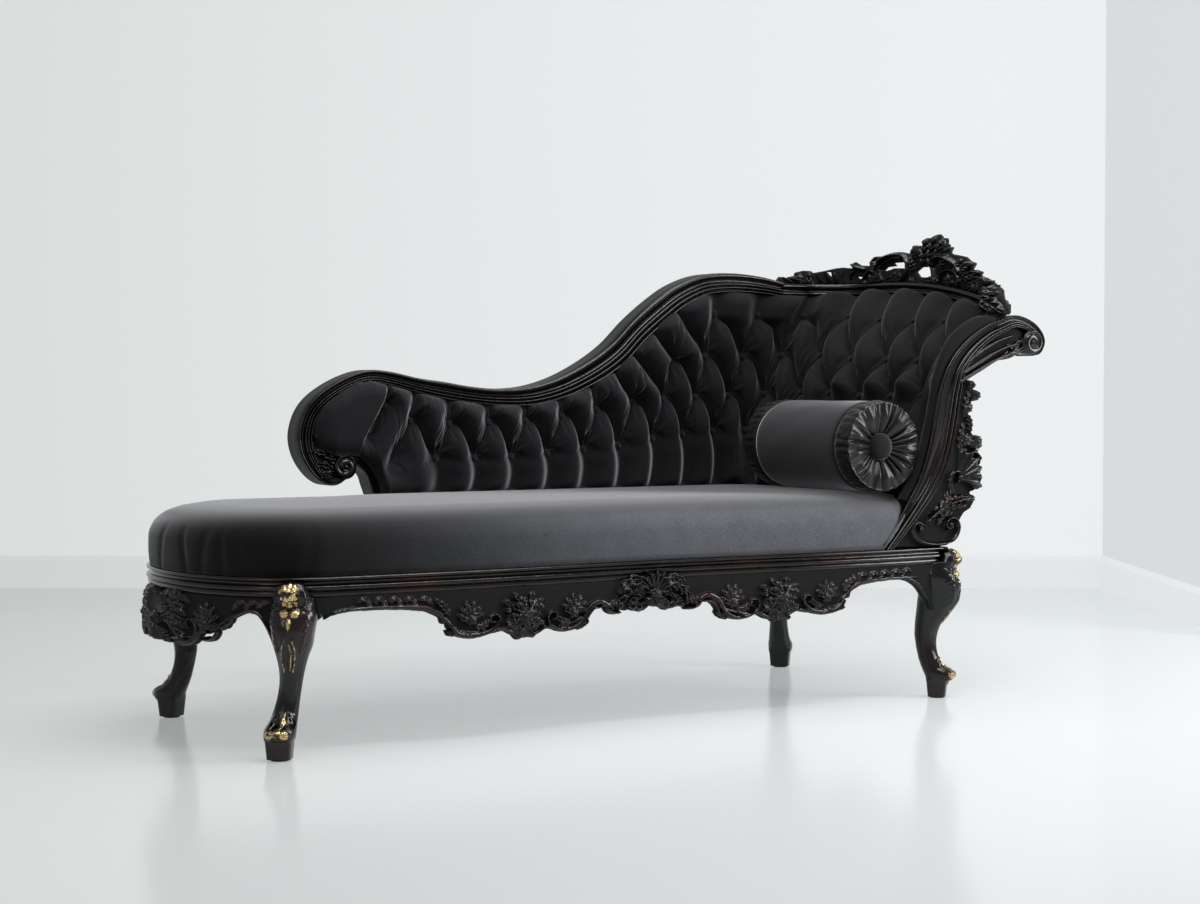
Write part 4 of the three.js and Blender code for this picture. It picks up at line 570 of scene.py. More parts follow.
def makeTuftedVelvet():
    t = tufting
    run = np.linspace(t["leftEdge"], padRunEnd, t["columns"] + 1)
    top = panelTop(run) + 3
    footX, footZ = uprightX([p[0] for p in wall["panelFoot"]]), uprightZ([p[1] for p in wall["panelFoot"]])
    foot = np.where(run < footX[-1], np.interp(run, footX, footZ) + 0.8, t["padBottom"])
    share = np.linspace(0, 1, t["rows"] + 1)
    z = foot[:, None] + (top - foot)[:, None] * share
    runs = np.repeat(run[:, None], t["rows"] + 1, 1)
    height = tuftHeight(runs, z, top[:, None], foot[:, None])
    front = wallPlan(runs, z) + wallNormal(runs, z) * height[..., None]
    coarse = np.linspace(0, 1, t["backRows"] + 1)
    backZ = foot[:, None] + (top - foot)[:, None] * coarse
    back = wallPlan(np.repeat(run[:, None], t["backRows"] + 1, 1), backZ, -t["depth"])
    points = np.concatenate([toModel(*front.reshape(-1, 3).T), toModel(*back.reshape(-1, 3).T)])
    side, backSide, start = t["rows"] + 1, t["backRows"] + 1, front.shape[0] * front.shape[1]
    faces = gridFaces(t["columns"], t["rows"]) + gridFaces(t["columns"], t["backRows"], start)
    for i in range(t["columns"]):
        a, b = i * side, (i + 1) * side
        c, d = start + i * backSide, start + (i + 1) * backSide
        faces.append([a, b, d, c])
        faces.append([a + t["rows"], b + t["rows"], d + t["backRows"], c + t["backRows"]])
    step = t["rows"] // t["backRows"]
    for i in (0, t["columns"]):
        for k in range(t["backRows"]):
            column = [i * side + k * step + j for j in range(step + 1)]
            faces.append(column + [start + i * backSide + k + 1, start + i * backSide + k])
    piece = makePiece("tufted_velvet", points, faces, velvet)
    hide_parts("back_upholstery", "head_upholstery")
    return piece


makeTuftedVelvet()
print("tufted velvet made")

# covered buttons in the pockets of the tufting

buttons = {
    "radius": 8.5, "rise": 4.5, "lift": 2,
    # none on the frame, under the post's scroll, behind the bolster or below the seat's top
    "upperFrom": 450, "postGap": 20, "bolsterRun": 700, "bolsterTop": 660, "lowest": 530,
}


def buttonPlaces():
    places, facing = [], []
    for row, (first, spots) in tufting["buttons"].items():
        for k, (run, z) in enumerate(spots):
            onFrame = first + k + row / 2 < 0 or (row == 2 and run < buttons["upperFrom"])
            behind = run > buttons["bolsterRun"] and z < buttons["bolsterTop"]
            if onFrame or behind or run > padRunEnd - buttons["postGap"] or z < buttons["lowest"]:
                continue
            run, z = np.array(float(run)), np.array(float(z))
            spot, normal = wallPlan(run, z), wallNormal(run, z)
            places.append(toModel(*(spot + normal * buttons["lift"]))[0])
            facing.append(normal)
    return np.array(places), np.array(facing)


def makeButtons():
    places, facing = buttonPlaces()
    mesh = bpy.data.meshes.new("velvet_buttons")
    mesh.from_pydata(places.tolist(), [], [])
    mesh.attributes.new("facing", "FLOAT_VECTOR", "POINT").data.foreach_set("vector", facing.ravel())
    holder = bpy.data.objects.new("velvet_buttons", mesh)
    bpy.context.scene.collection.objects.link(holder)
    tree = bpy.data.node_groups.new("coveredButtons", "GeometryNodeTree")
    tree.interface.new_socket("Geometry", in_out="INPUT", socket_type="NodeSocketGeometry")
    radius = tree.interface.new_socket("Radius", in_out="INPUT", socket_type="NodeSocketFloat")
    rise = tree.interface.new_socket("Rise", in_out="INPUT", socket_type="NodeSocketFloat")
    tree.interface.new_socket("Geometry", in_out="OUTPUT", socket_type="NodeSocketGeometry")
    group = addNode(tree, "NodeGroupInput")
    ball = addNode(tree, "GeometryNodeMeshUVSphere", {"Segments": 14, "Rings": 8, "Radius": 1})
    size = addNode(tree, "ShaderNodeCombineXYZ", {
        0: group.outputs["Radius"], 1: group.outputs["Radius"], 2: group.outputs["Rise"]})
    dome = addNode(tree, "GeometryNodeTransform", {"Geometry": ball.outputs[0], "Scale": size.outputs[0]})
    way = addNode(tree, "GeometryNodeInputNamedAttribute", {"Name": "facing"}, data_type="FLOAT_VECTOR")
    turn = addNode(tree, "FunctionNodeAlignRotationToVector", {"Vector": way.outputs[0]}, axis="Z")
    spread = addNode(tree, "GeometryNodeInstanceOnPoints", {
        "Points": group.outputs["Geometry"], "Instance": dome.outputs[0], "Rotation": turn.outputs[0]})
    smooth = addNode(tree, "GeometryNodeSetShadeSmooth", {"Geometry": spread.outputs[0]})
    real = addNode(tree, "GeometryNodeRealizeInstances", {"Geometry": smooth.outputs[0]})
    covered = addNode(tree, "GeometryNodeSetMaterial", {"Geometry": real.outputs[0], "Material": velvet})
    addNode(tree, "NodeGroupOutput", {"Geometry": covered.outputs[0]})
    spreader = holder.modifiers.new("coveredButtons", "NODES")
    spreader.node_group = tree
    spreader[radius.identifier] = buttons["radius"] * mm
    spreader[rise.identifier] = buttons["rise"] * mm
    result = bpy.data.meshes.new_from_object(holder.evaluated_get(bpy.context.evaluated_depsgraph_get()))
    holder.modifiers.clear()
    holder.data = result
    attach(holder, "frame")
    return holder


makeButtons()
print("buttons made")

# the sprung seat, rounded over its edge

seat = {
    "inset": 7, "edge": 112, "crown": 15, "round": 50, "bulge": 3, "around": 840, "inner": 16,
    # the top closes on a line along its middle, the bottom on one point
    "spine": (-600, 500), "spineSteps": 60, "under": (-85, 0.5),
    # how far the edge stands off the back, steps in behind the foot post and laps behind the head's
    "backGap": 1.6, "ease": 0.4, "stepIn": (-470, 120), "lap": (9, -14),
    # place and lean of the wrinkles, along the front and round the foot end
    "wrinkle": 3.2, "wrinkleWidth": 10,
    "frontWrinkles": ((-742, 0.25), (-668, 0.8), (-628, 1.1), (-545, 0.7)),
    "footWrinkles": ((-236, 0.3), (-196, 0.1), (-150, -0.2), (-92, 0.2), (10, -0.2)),
    # inset and height of the levels, as shares of rounding, bulge, edge and crown
    "levels": [
        (0, 0, 0.004, 0), (0, -0.6, 0.12, 0), (0, -0.95, 0.25, 0), (0, -1, 0.4, 0), (0, -0.7, 0.56, 0),
        (0.02, -0.3, 0.64, 0), (0.08, 0, 0.71, 0), (0.17, 0, 0.78, 0), (0.3, 0, 0.845, 0),
        (0.46, 0, 0.9, 0), (0.65, 0, 0.945, 0.02), (0.9, 0, 0.978, 0.1), (1.2, 0, 1, 0.25),
        (1.65, 0, 1, 0.5), (2.1, 0, 1, 0.7), (2.6, 0, 1, 0.85)],
}


def railFront(x):
    t = (x - roundStart) / (couch["headReach"] - roundStart)
    return -couch["frontDepth"] - couch["serpentine"] * np.sin(3 * math.pi * t)


def roundPlace(angle, depth):
    # a point on the oval foot end, by angle and depth inside it
    middle = (couch["backDepth"] - couch["frontDepth"]) / 2
    x = roundStart - (couch["roundReach"] - depth) * np.cos(angle)
    return x, middle + (roundHalf - depth) * np.sin(angle)


def seatRing(inset, z):
    edge, ease = seat["inset"] + inset, inset * seat["ease"]
    line = [np.array(roundPlace(a, edge)) for a in np.linspace(-math.pi / 2, math.pi / 2, 60)]
    backY = couch["backFront"] - seat["backGap"] - ease
    # the back edge steps in behind the foot post with an easy curve
    start, length = seat["stepIn"]
    for t in np.linspace(0, 1, 12):
        blend = t * t * (3 - 2 * t)
        line.append(np.array([start + length * t, (couch["backDepth"] - edge) * (1 - blend) + backY * blend]))
    line.append(np.array([0, backY]))
    for run in np.linspace(couch["cornerRun"], cornerEnd, 16):
        line.append(wallPlan(run, z, couch["wallY"] - backY)[:2])
    for share in np.linspace(0.1, 1, 12):
        run = cornerEnd + (headRunEnd - cornerEnd) * share
        line.append(wallPlan(run, z, 3 + ease * (1 - share ** 3))[:2])
    # it runs on behind the foot of the post
    line.append(line[-1] + seat["lap"])
    for x in np.linspace(line[-1][0], roundStart, 60):
        line.append(np.array([x, railFront(x) + edge]))
    return spaced(np.vstack([line, line[:1]]), np.linspace(0, 1, seat["around"] + 1)[:-1])


def makeSeat():
    count, base = seat["around"], couch["railTop"]
    crown, (spineStart, spineEnd) = seat["crown"], seat["spine"]
    rings = []
    for roundness, bulge, edge, rise in seat["levels"]:
        z = base + edge * seat["edge"] + rise * crown
        ring = seatRing(roundness * seat["round"] + bulge * seat["bulge"], z)
        rings.append(np.column_stack([ring, np.full(count, z)]))
    outer = rings[-1]
    spine = np.column_stack([np.clip(outer[:, 0], spineStart, spineEnd), np.zeros(count), outer[:, 2]])
    for k in range(1, seat["inner"]):
        t = k / seat["inner"]
        ring = outer * (1 - t) + spine * t
        ring[:, 2] = outer[:, 2] + crown * 0.15 * (1 - (1 - t) ** 2)
        rings.append(ring)
    faces = ringFaces(rings)
    last, first, steps = (len(rings) - 1) * count, len(rings) * count, seat["spineSteps"]
    near = np.rint((spine[:, 0] - spineStart) / (spineEnd - spineStart) * steps).astype(int)
    middle = [[x, 0, base + seat["edge"] + crown] for x in np.linspace(spineStart, spineEnd, steps + 1)]
    underX, underZ = seat["under"]
    points = np.vstack(rings + [middle, [[underX, 0, base + underZ]]])
    for i in range(count):
        n = (i + 1) % count
        faces.append([last + i, last + n, first + near[n]])
        if near[n] != near[i]:
            faces.append([last + i, first + near[n], first + near[i]])
        faces.append([i, n, first + steps + 1])
    # wrinkles pulled into the sides at the foot end; painted shade darkens those sides, painted light makes the front
    # paler towards the head end
    x, y, z = points.T
    level = z - base
    sides = (1 - smoothStep(level, 62, 100)) * (1 - 0.5 * smoothStep(-level, -26, 0))
    for at, lean in seat["frontWrinkles"]:
        pull = sides * (y < -120) * np.exp(-((x - at - lean * (level - 40)) / seat["wrinkleWidth"]) ** 2)
        points[:, 1] += seat["wrinkle"] * pull * smoothStep(-x, 540, 600)
    for at, lean in seat["footWrinkles"]:
        pull = sides * (x < -790) * np.exp(-((y - at - lean * (level - 40)) / seat["wrinkleWidth"]) ** 2)
        points[:, 0] += seat["wrinkle"] * pull
    front = 1 - smoothStep(points[:, 2], couch["railTop"] + 88, couch["railTop"] + 118)
    piece = makePiece("seat_velvet", toModel(*points.T), faces, seatVelvet)
    # painted light: the front face paler towards the head end
    paint(piece, "paintedFrontLight", front * smoothStep(points[:, 0], -700, -100))
    # painted shade: the sides darker at the foot end
    paint(piece, "satinAndPaintedShade", 0.6 * (1 - smoothStep(level, 80, 116)) * (1 - smoothStep(points[:, 0], -880, -480)))
    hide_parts("seat_cushion")
    return piece


makeSeat()
print("seat made")

# the loose bolster, gathered to a button at both ends

bolster = {
    "x": 642, "z": 575.35, "front": -316, "back": 100, "radius": 104, "sides": 420,
    "cuff": 56, "cuffPleats": 34, "endPleats": 20, "endDepth": 15,
    # radius of a button, and the shares of it and the rise of its rings
    "button": 30,
    "dome": ((0.98, -9), (1.03, -4), (1.02, 0), (0.95, 4), (0.82, 7.4), (0.62, 10), (0.34, 11.6), (0.08, 12)),
}


def makeBolster():
    b = bolster
    count = b["sides"]
    angle = np.linspace(0, 2 * math.pi, count, endpoint=False)
    middle, half = (b["front"] + b["back"]) / 2, (b["back"] - b["front"]) / 2
    rng = np.random.default_rng(7)
    wander = sum(rng.uniform(0.2, 0.5) * np.sin(k * angle + rng.uniform(0, 6)) for k in (2, 3, 5, 7, 9))
    rings, shine = [], []

    def folds(number, seed):
        # rounded folds with narrow creases between them, no two alike
        phase = number * angle + 2.4 * wander + seed
        size = 0.8 + 0.5 * np.sin(5 * angle + seed) * np.sin(3.3 * np.cos(angle) + seed)
        return (np.abs(np.sin(phase / 2)) ** 0.6 * 2 - 1) * size

    def gatheredEnd(end):
        ends = []
        for r in np.linspace(0.2, 0.93, 34):
            hollow = b["endDepth"] * (1 - smoothStep(r, 0.2, 0.72))
            deep = 6.6 * smoothStep(r, 0.16, 0.4) * (1 - 0.62 * smoothStep(r, 0.62, 0.93))
            lift = folds(b["endPleats"], end) * deep + folds(b["cuffPleats"], 2 + end) * 1.3 * smoothStep(r, 0.5, 0.9)
            ends.append((r * b["radius"] * np.ones(count), middle + end * (half - 7 - hollow + lift), 0.96))
        for turn in np.linspace(0.15, 1, 9):
            bend = turn * math.pi / 2
            r = b["radius"] * (0.93 + 0.035 * math.sin(bend)) + folds(b["cuffPleats"], 2 + end) * 1.9
            shoulder = 5 + 9 * (1 - math.cos(bend)) - folds(b["endPleats"], end) * 1.6 * (1 - turn)
            ends.append((r, middle + end * (half - shoulder), 1))
        for t in np.linspace(0.1, 1, 16):
            fade = 1 - smoothStep(t, 0.72, 1)
            swell = b["radius"] * 0.965 + 1.6 * math.sin(math.pi * t) - 2.6 * math.exp(-((t - 1) / 0.07) ** 2)
            creases = 0.6 * folds(b["cuffPleats"], 2 + end + 1.2 * t)
            creases += 0.5 * folds(b["cuffPleats"] - 11, end - 2.2 * t)
            r = swell + creases * (2.6 * fade + 0.4 * (1 - fade)) * (1 if t < 1 else 0)
            ends.append((r, np.full(count, middle + end * (half - 14 - (b["cuff"] - 14) * t)), 0.85 * fade + 0.05))
        return ends

    front, back = gatheredEnd(-1), gatheredEnd(1)[::-1]
    tube = []
    for t in np.linspace(-1, 1, 60):
        y = middle + t * (half - b["cuff"] - 2)
        sag = 0.6 * np.sin(4 * angle + 3 * t) + 0.4 * np.sin(7 * angle - 5 * t)
        pull = 1.5 * (abs(t) ** 30)
        tube.append((b["radius"] - 1.2 + sag * 0.6 - pull, np.full(count, y), 0))
    for radius, y, satinAndPaintedShade in front + tube + back:
        rings.append(toModel(b["x"] + radius * np.cos(angle), y, b["z"] + radius * np.sin(angle)))
        shine.append(np.full(count, satinAndPaintedShade))
    piece = makePiece("bolster_velvet", np.concatenate(rings), sweepRings(rings), bolsterVelvet, "bolster")
    paint(piece, "satinAndPaintedShade", np.concatenate(shine))
    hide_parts("bolster_cover")
    # domed buttons that pull the gathers in
    for end, node in ((-1, "bolster_button_front"), (1, "bolster_button_back")):
        dome, around = [], angle[::6]
        for share, rise in b["dome"]:
            r, y = share * b["button"], middle + end * (half - b["endDepth"] - 1 + rise)
            dome.append(toModel(b["x"] + r * np.cos(around), y, b["z"] + r * np.sin(around)))
        knob = makePiece(node.replace("bolster_button", "bolster_knob"), np.concatenate(dome), sweepRings(dome),
                         bolsterVelvet, "bolster")
        paint(knob, "satinAndPaintedShade", np.full(len(dome) * len(around), 0.45))
        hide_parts(node)


makeBolster()
print("bolster made")

# carving: heights drawn in a flat field, then cut out and laid on the frame


def blankField(u, v):
    # inside is the distance to the edge of what is carved, negative outside it
    return {"u": u, "v": v, "inside": np.full(u.shape, -9.0), "height": np.zeros(u.shape)}


def newField(left, right, low, high, step):
    return blankField(*np.meshgrid(np.arange(left, right + step, step), np.arange(low, high + step, step),
                                   indexing="ij"))


def punchGround(field, where, size, pitch):
    # fine dents over the level ground
    dents = size * np.sin(field["u"] * pitch) * np.sin(field["v"] * pitch)
    field["height"] += np.where(where, dents, 0)


def pathPlace(u, v, path):
    # share of the way along a path, and signed distance from it
    path = np.asarray(path, float)
    ways = np.diff(path, axis=0)
    lengths = np.hypot(*ways.T)
    starts = np.concatenate([[0], np.cumsum(lengths)])
    best = np.full(u.shape, 1e9)
    share, side = np.zeros(u.shape), np.ones(u.shape)
    for (ax, ay), (dx, dy), length, start in zip(path, ways, lengths, starts):
        if length == 0:
            continue
        t = np.clip(((u - ax) * dx + (v - ay) * dy) / length ** 2, 0, 1)
        ex, ey = u - ax - t * dx, v - ay - t * dy
        away = np.hypot(ex, ey)
        nearer = away < best
        best = np.where(nearer, away, best)
        share = np.where(nearer, (start + t * length) / starts[-1], share)
        side = np.where(nearer, np.where(dx * ey - dy * ex < 0, -1, 1), side)
    return share, side * best


def stamp(field, box, measure):
    # lays one ornament into the field; measure gives its inside distance and height
    left, right, low, high = box
    near = (field["u"] > left) & (field["u"] < right) & (field["v"] > low) & (field["v"] < high)
    if not near.any():
        return
    inside, height = measure(field["u"][near], field["v"][near])
    field["height"][near] = np.where(inside > 0, np.maximum(field["height"][near], height), field["height"][near])
    field["inside"][near] = np.maximum(field["inside"][near], inside)


def boxOf(path, grow):
    path = np.asarray(path)
    return path[:, 0].min() - grow, path[:, 0].max() + grow, path[:, 1].min() - grow, path[:, 1].max() + grow


def boxAround(cx, cy, reach):
    return cx - reach, cx + reach, cy - reach, cy + reach


def carveBoard(field, outline, height):
    # the plain board, its edge the closed outline
    loop = np.vstack([outline, outline[:1]])
    u, v = field["u"], field["v"]
    _, away = pathPlace(u, v, loop)
    crossings = np.zeros(u.shape, int)
    for (ax, ay), (bx, by) in zip(loop[:-1], loop[1:]):
        if ay == by:
            continue
        across = (ay > v) != (by > v)
        crossings += (across & (u < ax + (v - ay) * (bx - ax) / (by - ay))).astype(int)
    inside = np.where(crossings % 2 == 1, np.abs(away), -np.abs(away))
    field["height"] = np.where(inside > 0, np.maximum(field["height"], height), field["height"])
    field["inside"] = np.maximum(field["inside"], inside)


def carveStrap(field, path, width, tip, rise, reeds=1, base=0):
    path = curved(path)

    def measure(u, v):
        share, side = pathPlace(u, v, path)
        half = (width + (tip - width) * smoothStep(share, 0.35, 1)) / 2
        across = np.abs(side) / half
        body = np.sqrt(np.clip(1 - across ** 2, 0, 1))
        grooves = 1 - 0.28 * (0.5 - 0.5 * np.cos(2 * math.pi * reeds * np.minimum(across, 1))) if reeds > 0 else 1
        return half - np.abs(side), base + rise * body * grooves
    stamp(field, boxOf(path, width), measure)


def carveLeaf(field, path, width, rise, lobes=5, base=0):
    # acanthus leaf: lobed edge, a groove down the middle and one for each lobe
    path = curved(path)

    def measure(u, v):
        share, side = pathPlace(u, v, path)
        swell = np.sin(math.pi * np.clip(share, 0.001, 0.999) ** 0.8) ** 0.6
        half = width / 2 * swell * (0.76 + 0.24 * np.abs(np.cos(math.pi * lobes * share))) + 0.3
        across = np.minimum(np.abs(side) / half, 1)
        veins = 0.76 + 0.24 * np.cos(2 * math.pi * (lobes * share - 0.8 * across))
        middle = 1 - 0.4 * np.exp(-(np.abs(side) / 1.6) ** 2)
        return half - np.abs(side), base + rise * (0.72 + 0.5 * share) * (1 - across ** 2.4) ** 0.5 * veins * middle
    stamp(field, boxOf(path, width), measure)


def carveRose(field, cx, cy, radius, rise, petals=5, turn=0.0, base=0):
    def measure(u, v):
        distance = np.hypot(u - cx, v - cy) / radius
        angle = np.arctan2(v - cy, u - cx) + turn
        height = np.zeros_like(distance)
        edge = 1 - 0.13 * (0.5 + 0.5 * np.cos(petals * angle + math.pi)) * 2
        for k, size in enumerate((1, 0.72, 0.46, 0.24)):
            rim = size * (1 - 0.1 * (1 - np.cos(petals * angle + 2.2 * k)))
            cup = np.clip(distance / rim, 0, 1)
            petal = (0.45 + 0.2 * k) + 0.3 * cup ** 2 - 0.12 * (0.5 - 0.5 * np.cos(petals * angle + 2.2 * k)) * cup
            height = np.where(distance < rim, np.maximum(height, petal), height)
        height = np.where(distance < 0.1, 1.15, height)
        return (edge - distance) * radius, base + rise * height / 1.15
    stamp(field, boxAround(cx, cy, radius * 1.2), measure)


def carveShell(field, cx, cy, radius, middle, spread, ribs, rise, base=0):
    def measure(u, v):
        distance = np.hypot(u - cx, v - cy) / radius
        angle = np.angle(np.exp(1j * (np.arctan2(v - cy, u - cx) - middle)))
        scallop = np.abs(np.cos(math.pi * ribs * (angle / spread + 0.5)))
        edge = np.where(np.abs(angle) < spread / 2, 0.86 + 0.14 * (1 - scallop), 0.05)
        curl = 0.35 + 0.65 * np.sin(math.pi * np.clip(distance, 0, 1) ** 1.3 * 0.72)
        return (edge - distance) * radius, base + rise * curl * (0.62 + 0.38 * (1 - scallop))
    stamp(field, boxAround(cx, cy, radius * 1.1), measure)


def carveBead(field, cx, cy, radius, rise, base=0):
    def measure(u, v):
        distance = np.hypot(u - cx, v - cy) / radius
        return (1 - distance) * radius, base + rise * np.sqrt(np.clip(1 - distance ** 2, 0, 1))
    stamp(field, boxAround(cx, cy, radius), measure)


def cutSheet(name, field, place, back, soften=3.5, ground=None):
    # the carved board as a mesh: a front that follows the heights, a flat back and an edge between;
    # what lies below the level ground is left dull
    u, v, inside, height = field["u"], field["v"], field["inside"].copy(), field["height"]
    for border in (inside[0], inside[-1], inside[:, 0], inside[:, -1]):
        border[:] = np.minimum(border, -0.01)
    inside = np.where(np.abs(inside) < 0.02, -0.02, inside)
    rounded = back + (height - back) * (0.35 + 0.65 * np.sqrt(np.clip(inside / soften, 0, 1)))
    rows = u.shape[1]
    spots, order = [], {}

    def corner(i, j):
        key = i * rows + j
        if key not in order:
            order[key] = len(spots)
            spots.append((u[i, j], v[i, j], rounded[i, j]))
        return order[key]

    def crossing(a, b):
        key = (min(a, b), max(a, b))
        if key not in order:
            t = inside[key[0]] / (inside[key[0]] - inside[key[1]])
            level = rounded[key[0]] if inside[key[0]] > 0 else rounded[key[1]]
            order[key] = len(spots)
            spots.append((u[key[0]] + t * (u[key[1]] - u[key[0]]), v[key[0]] + t * (v[key[1]] - v[key[0]]),
                          back + (level - back) * 0.8))
        return order[key]

    solid = inside > 0
    busy = solid[:-1, :-1] | solid[1:, :-1] | solid[1:, 1:] | solid[:-1, 1:]
    fronts, walls = [], []
    for i, j in zip(*np.nonzero(busy)):
        corners = ((i, j), (i + 1, j), (i + 1, j + 1), (i, j + 1))
        polygon, cuts = [], []
        for k in range(4):
            a, b = corners[k], corners[(k + 1) % 4]
            if solid[a]:
                polygon.append(corner(*a))
            if solid[a] != solid[b]:
                polygon.append(crossing(a, b))
                cuts.append((len(polygon) - 1, solid[a]))
        fronts.append(polygon)
        for at, leaving in cuts:
            if leaving:
                walls.append((polygon[at], polygon[(at + 1) % len(polygon)]))
    spots = np.array(spots)
    count = len(spots)
    front = place(*spots.T)
    rear = place(spots[:, 0], spots[:, 1], np.full(count, float(back)))
    faces = fronts + [[k + count for k in reversed(face)] for face in fronts]
    faces += [[b, a, a + count, b + count] for a, b in walls]
    piece = makePiece(name, np.vstack([front, rear]), faces, ebonised)
    if ground is not None:
        flat = np.where(spots[:, 2] < ground, 1.0, 0.0)
        paint(piece, "ground", np.concatenate([flat, np.zeros(count)]))
    return piece


def along(table, place):
    return np.interp(place, [p[0] for p in table], [p[1] for p in table])


# aprons under the seat rail

apron = {
    # the outlines give the drop as a share of 109 mm over the reach; set is how far the level ground stands out
    "drop": 109, "reach": 702, "footReach": 320, "middle": 27, "set": 5, "step": 1.6, "back": -14, "gap": 0.4,
    "outline": [
        (0, 0.468), (0.078, 0.56), (0.125, 0.606), (0.158, 0.495), (0.194, 0.468), (0.233, 0.651),
        (0.264, 0.78), (0.331, 0.89), (0.375, 0.853), (0.403, 0.954), (0.444, 1), (0.479, 0.945),
        (0.514, 0.835), (0.556, 0.881), (0.611, 0.87), (0.664, 0.83), (0.683, 0.72),
        (0.715, 0.52), (0.757, 0.4), (0.819, 0.349), (0.9, 0.321), (0.99, 0.33), (1.03, 0.37), (1.1, 0.6)],
    "headEnd": [(0.9, 0.321), (0.94, 0.34), (0.97, 0.4), (1.0, 0.52), (1.025, 0.72), (1.05, 1.0), (1.1, 1.05)],
    "footOutline": [
        (0, 0.954), (0.125, 0.954), (0.3, 0.89), (0.44, 0.85), (0.49, 0.78), (0.51, 0.66),
        (0.6, 0.64), (0.66, 0.56), (0.76, 0.4), (0.82, 0.33), (0.865, 0.37), (0.9, 0.52), (0.925, 0.8), (0.94, 1),
        (1.008, 1), (1.0217, 0.78), (1.035, 0.56), (1.0457, 0.44), (1.0547, 0.37)],
}


def mirrored(path, side):
    return [(side * x, y) for x, y in path]


def carveFlower(field, cx, cy, radius, rise, petals, lowest):
    # two rows of long petals round a rose
    for row, (size, lift, count) in enumerate(((1, 0, petals), (0.72, 5, petals - 2))):
        for k in range(count):
            way = (k + 0.5 * row) * 2 * math.pi / count + 0.3
            tip = (cx + size * radius * math.cos(way), min(cy + size * radius * math.sin(way), lowest))
            bend = (cx + 0.6 * size * radius * math.cos(way + 0.12), cy + 0.6 * size * radius * math.sin(way + 0.12))
            carveLeaf(field, [(cx + 6 * math.cos(way), cy + 6 * math.sin(way)), bend, tip],
                      size * radius * 0.62, rise * (0.62 + 0.24 * row), 1.5, lift * 0.5)
    carveRose(field, cx, cy, radius * 0.34, rise * 1.1, 5, 0.5, 3)


def carveSpray(field, cx, cy, size, start, spread, count, rise, width=0.36):
    # leaves that fan out from one spot
    for k in range(count):
        way = start + spread * (k / (count - 1) - 0.5)
        long = size * (1 - 0.22 * abs(2 * k / (count - 1) - 1))
        middle = (cx + 0.5 * long * math.cos(way - 0.1), cy + 0.5 * long * math.sin(way - 0.1))
        tip = (cx + long * math.cos(way + 0.12), cy + long * math.sin(way + 0.12))
        carveLeaf(field, [(cx, cy), middle, tip], size * width, rise, 3)


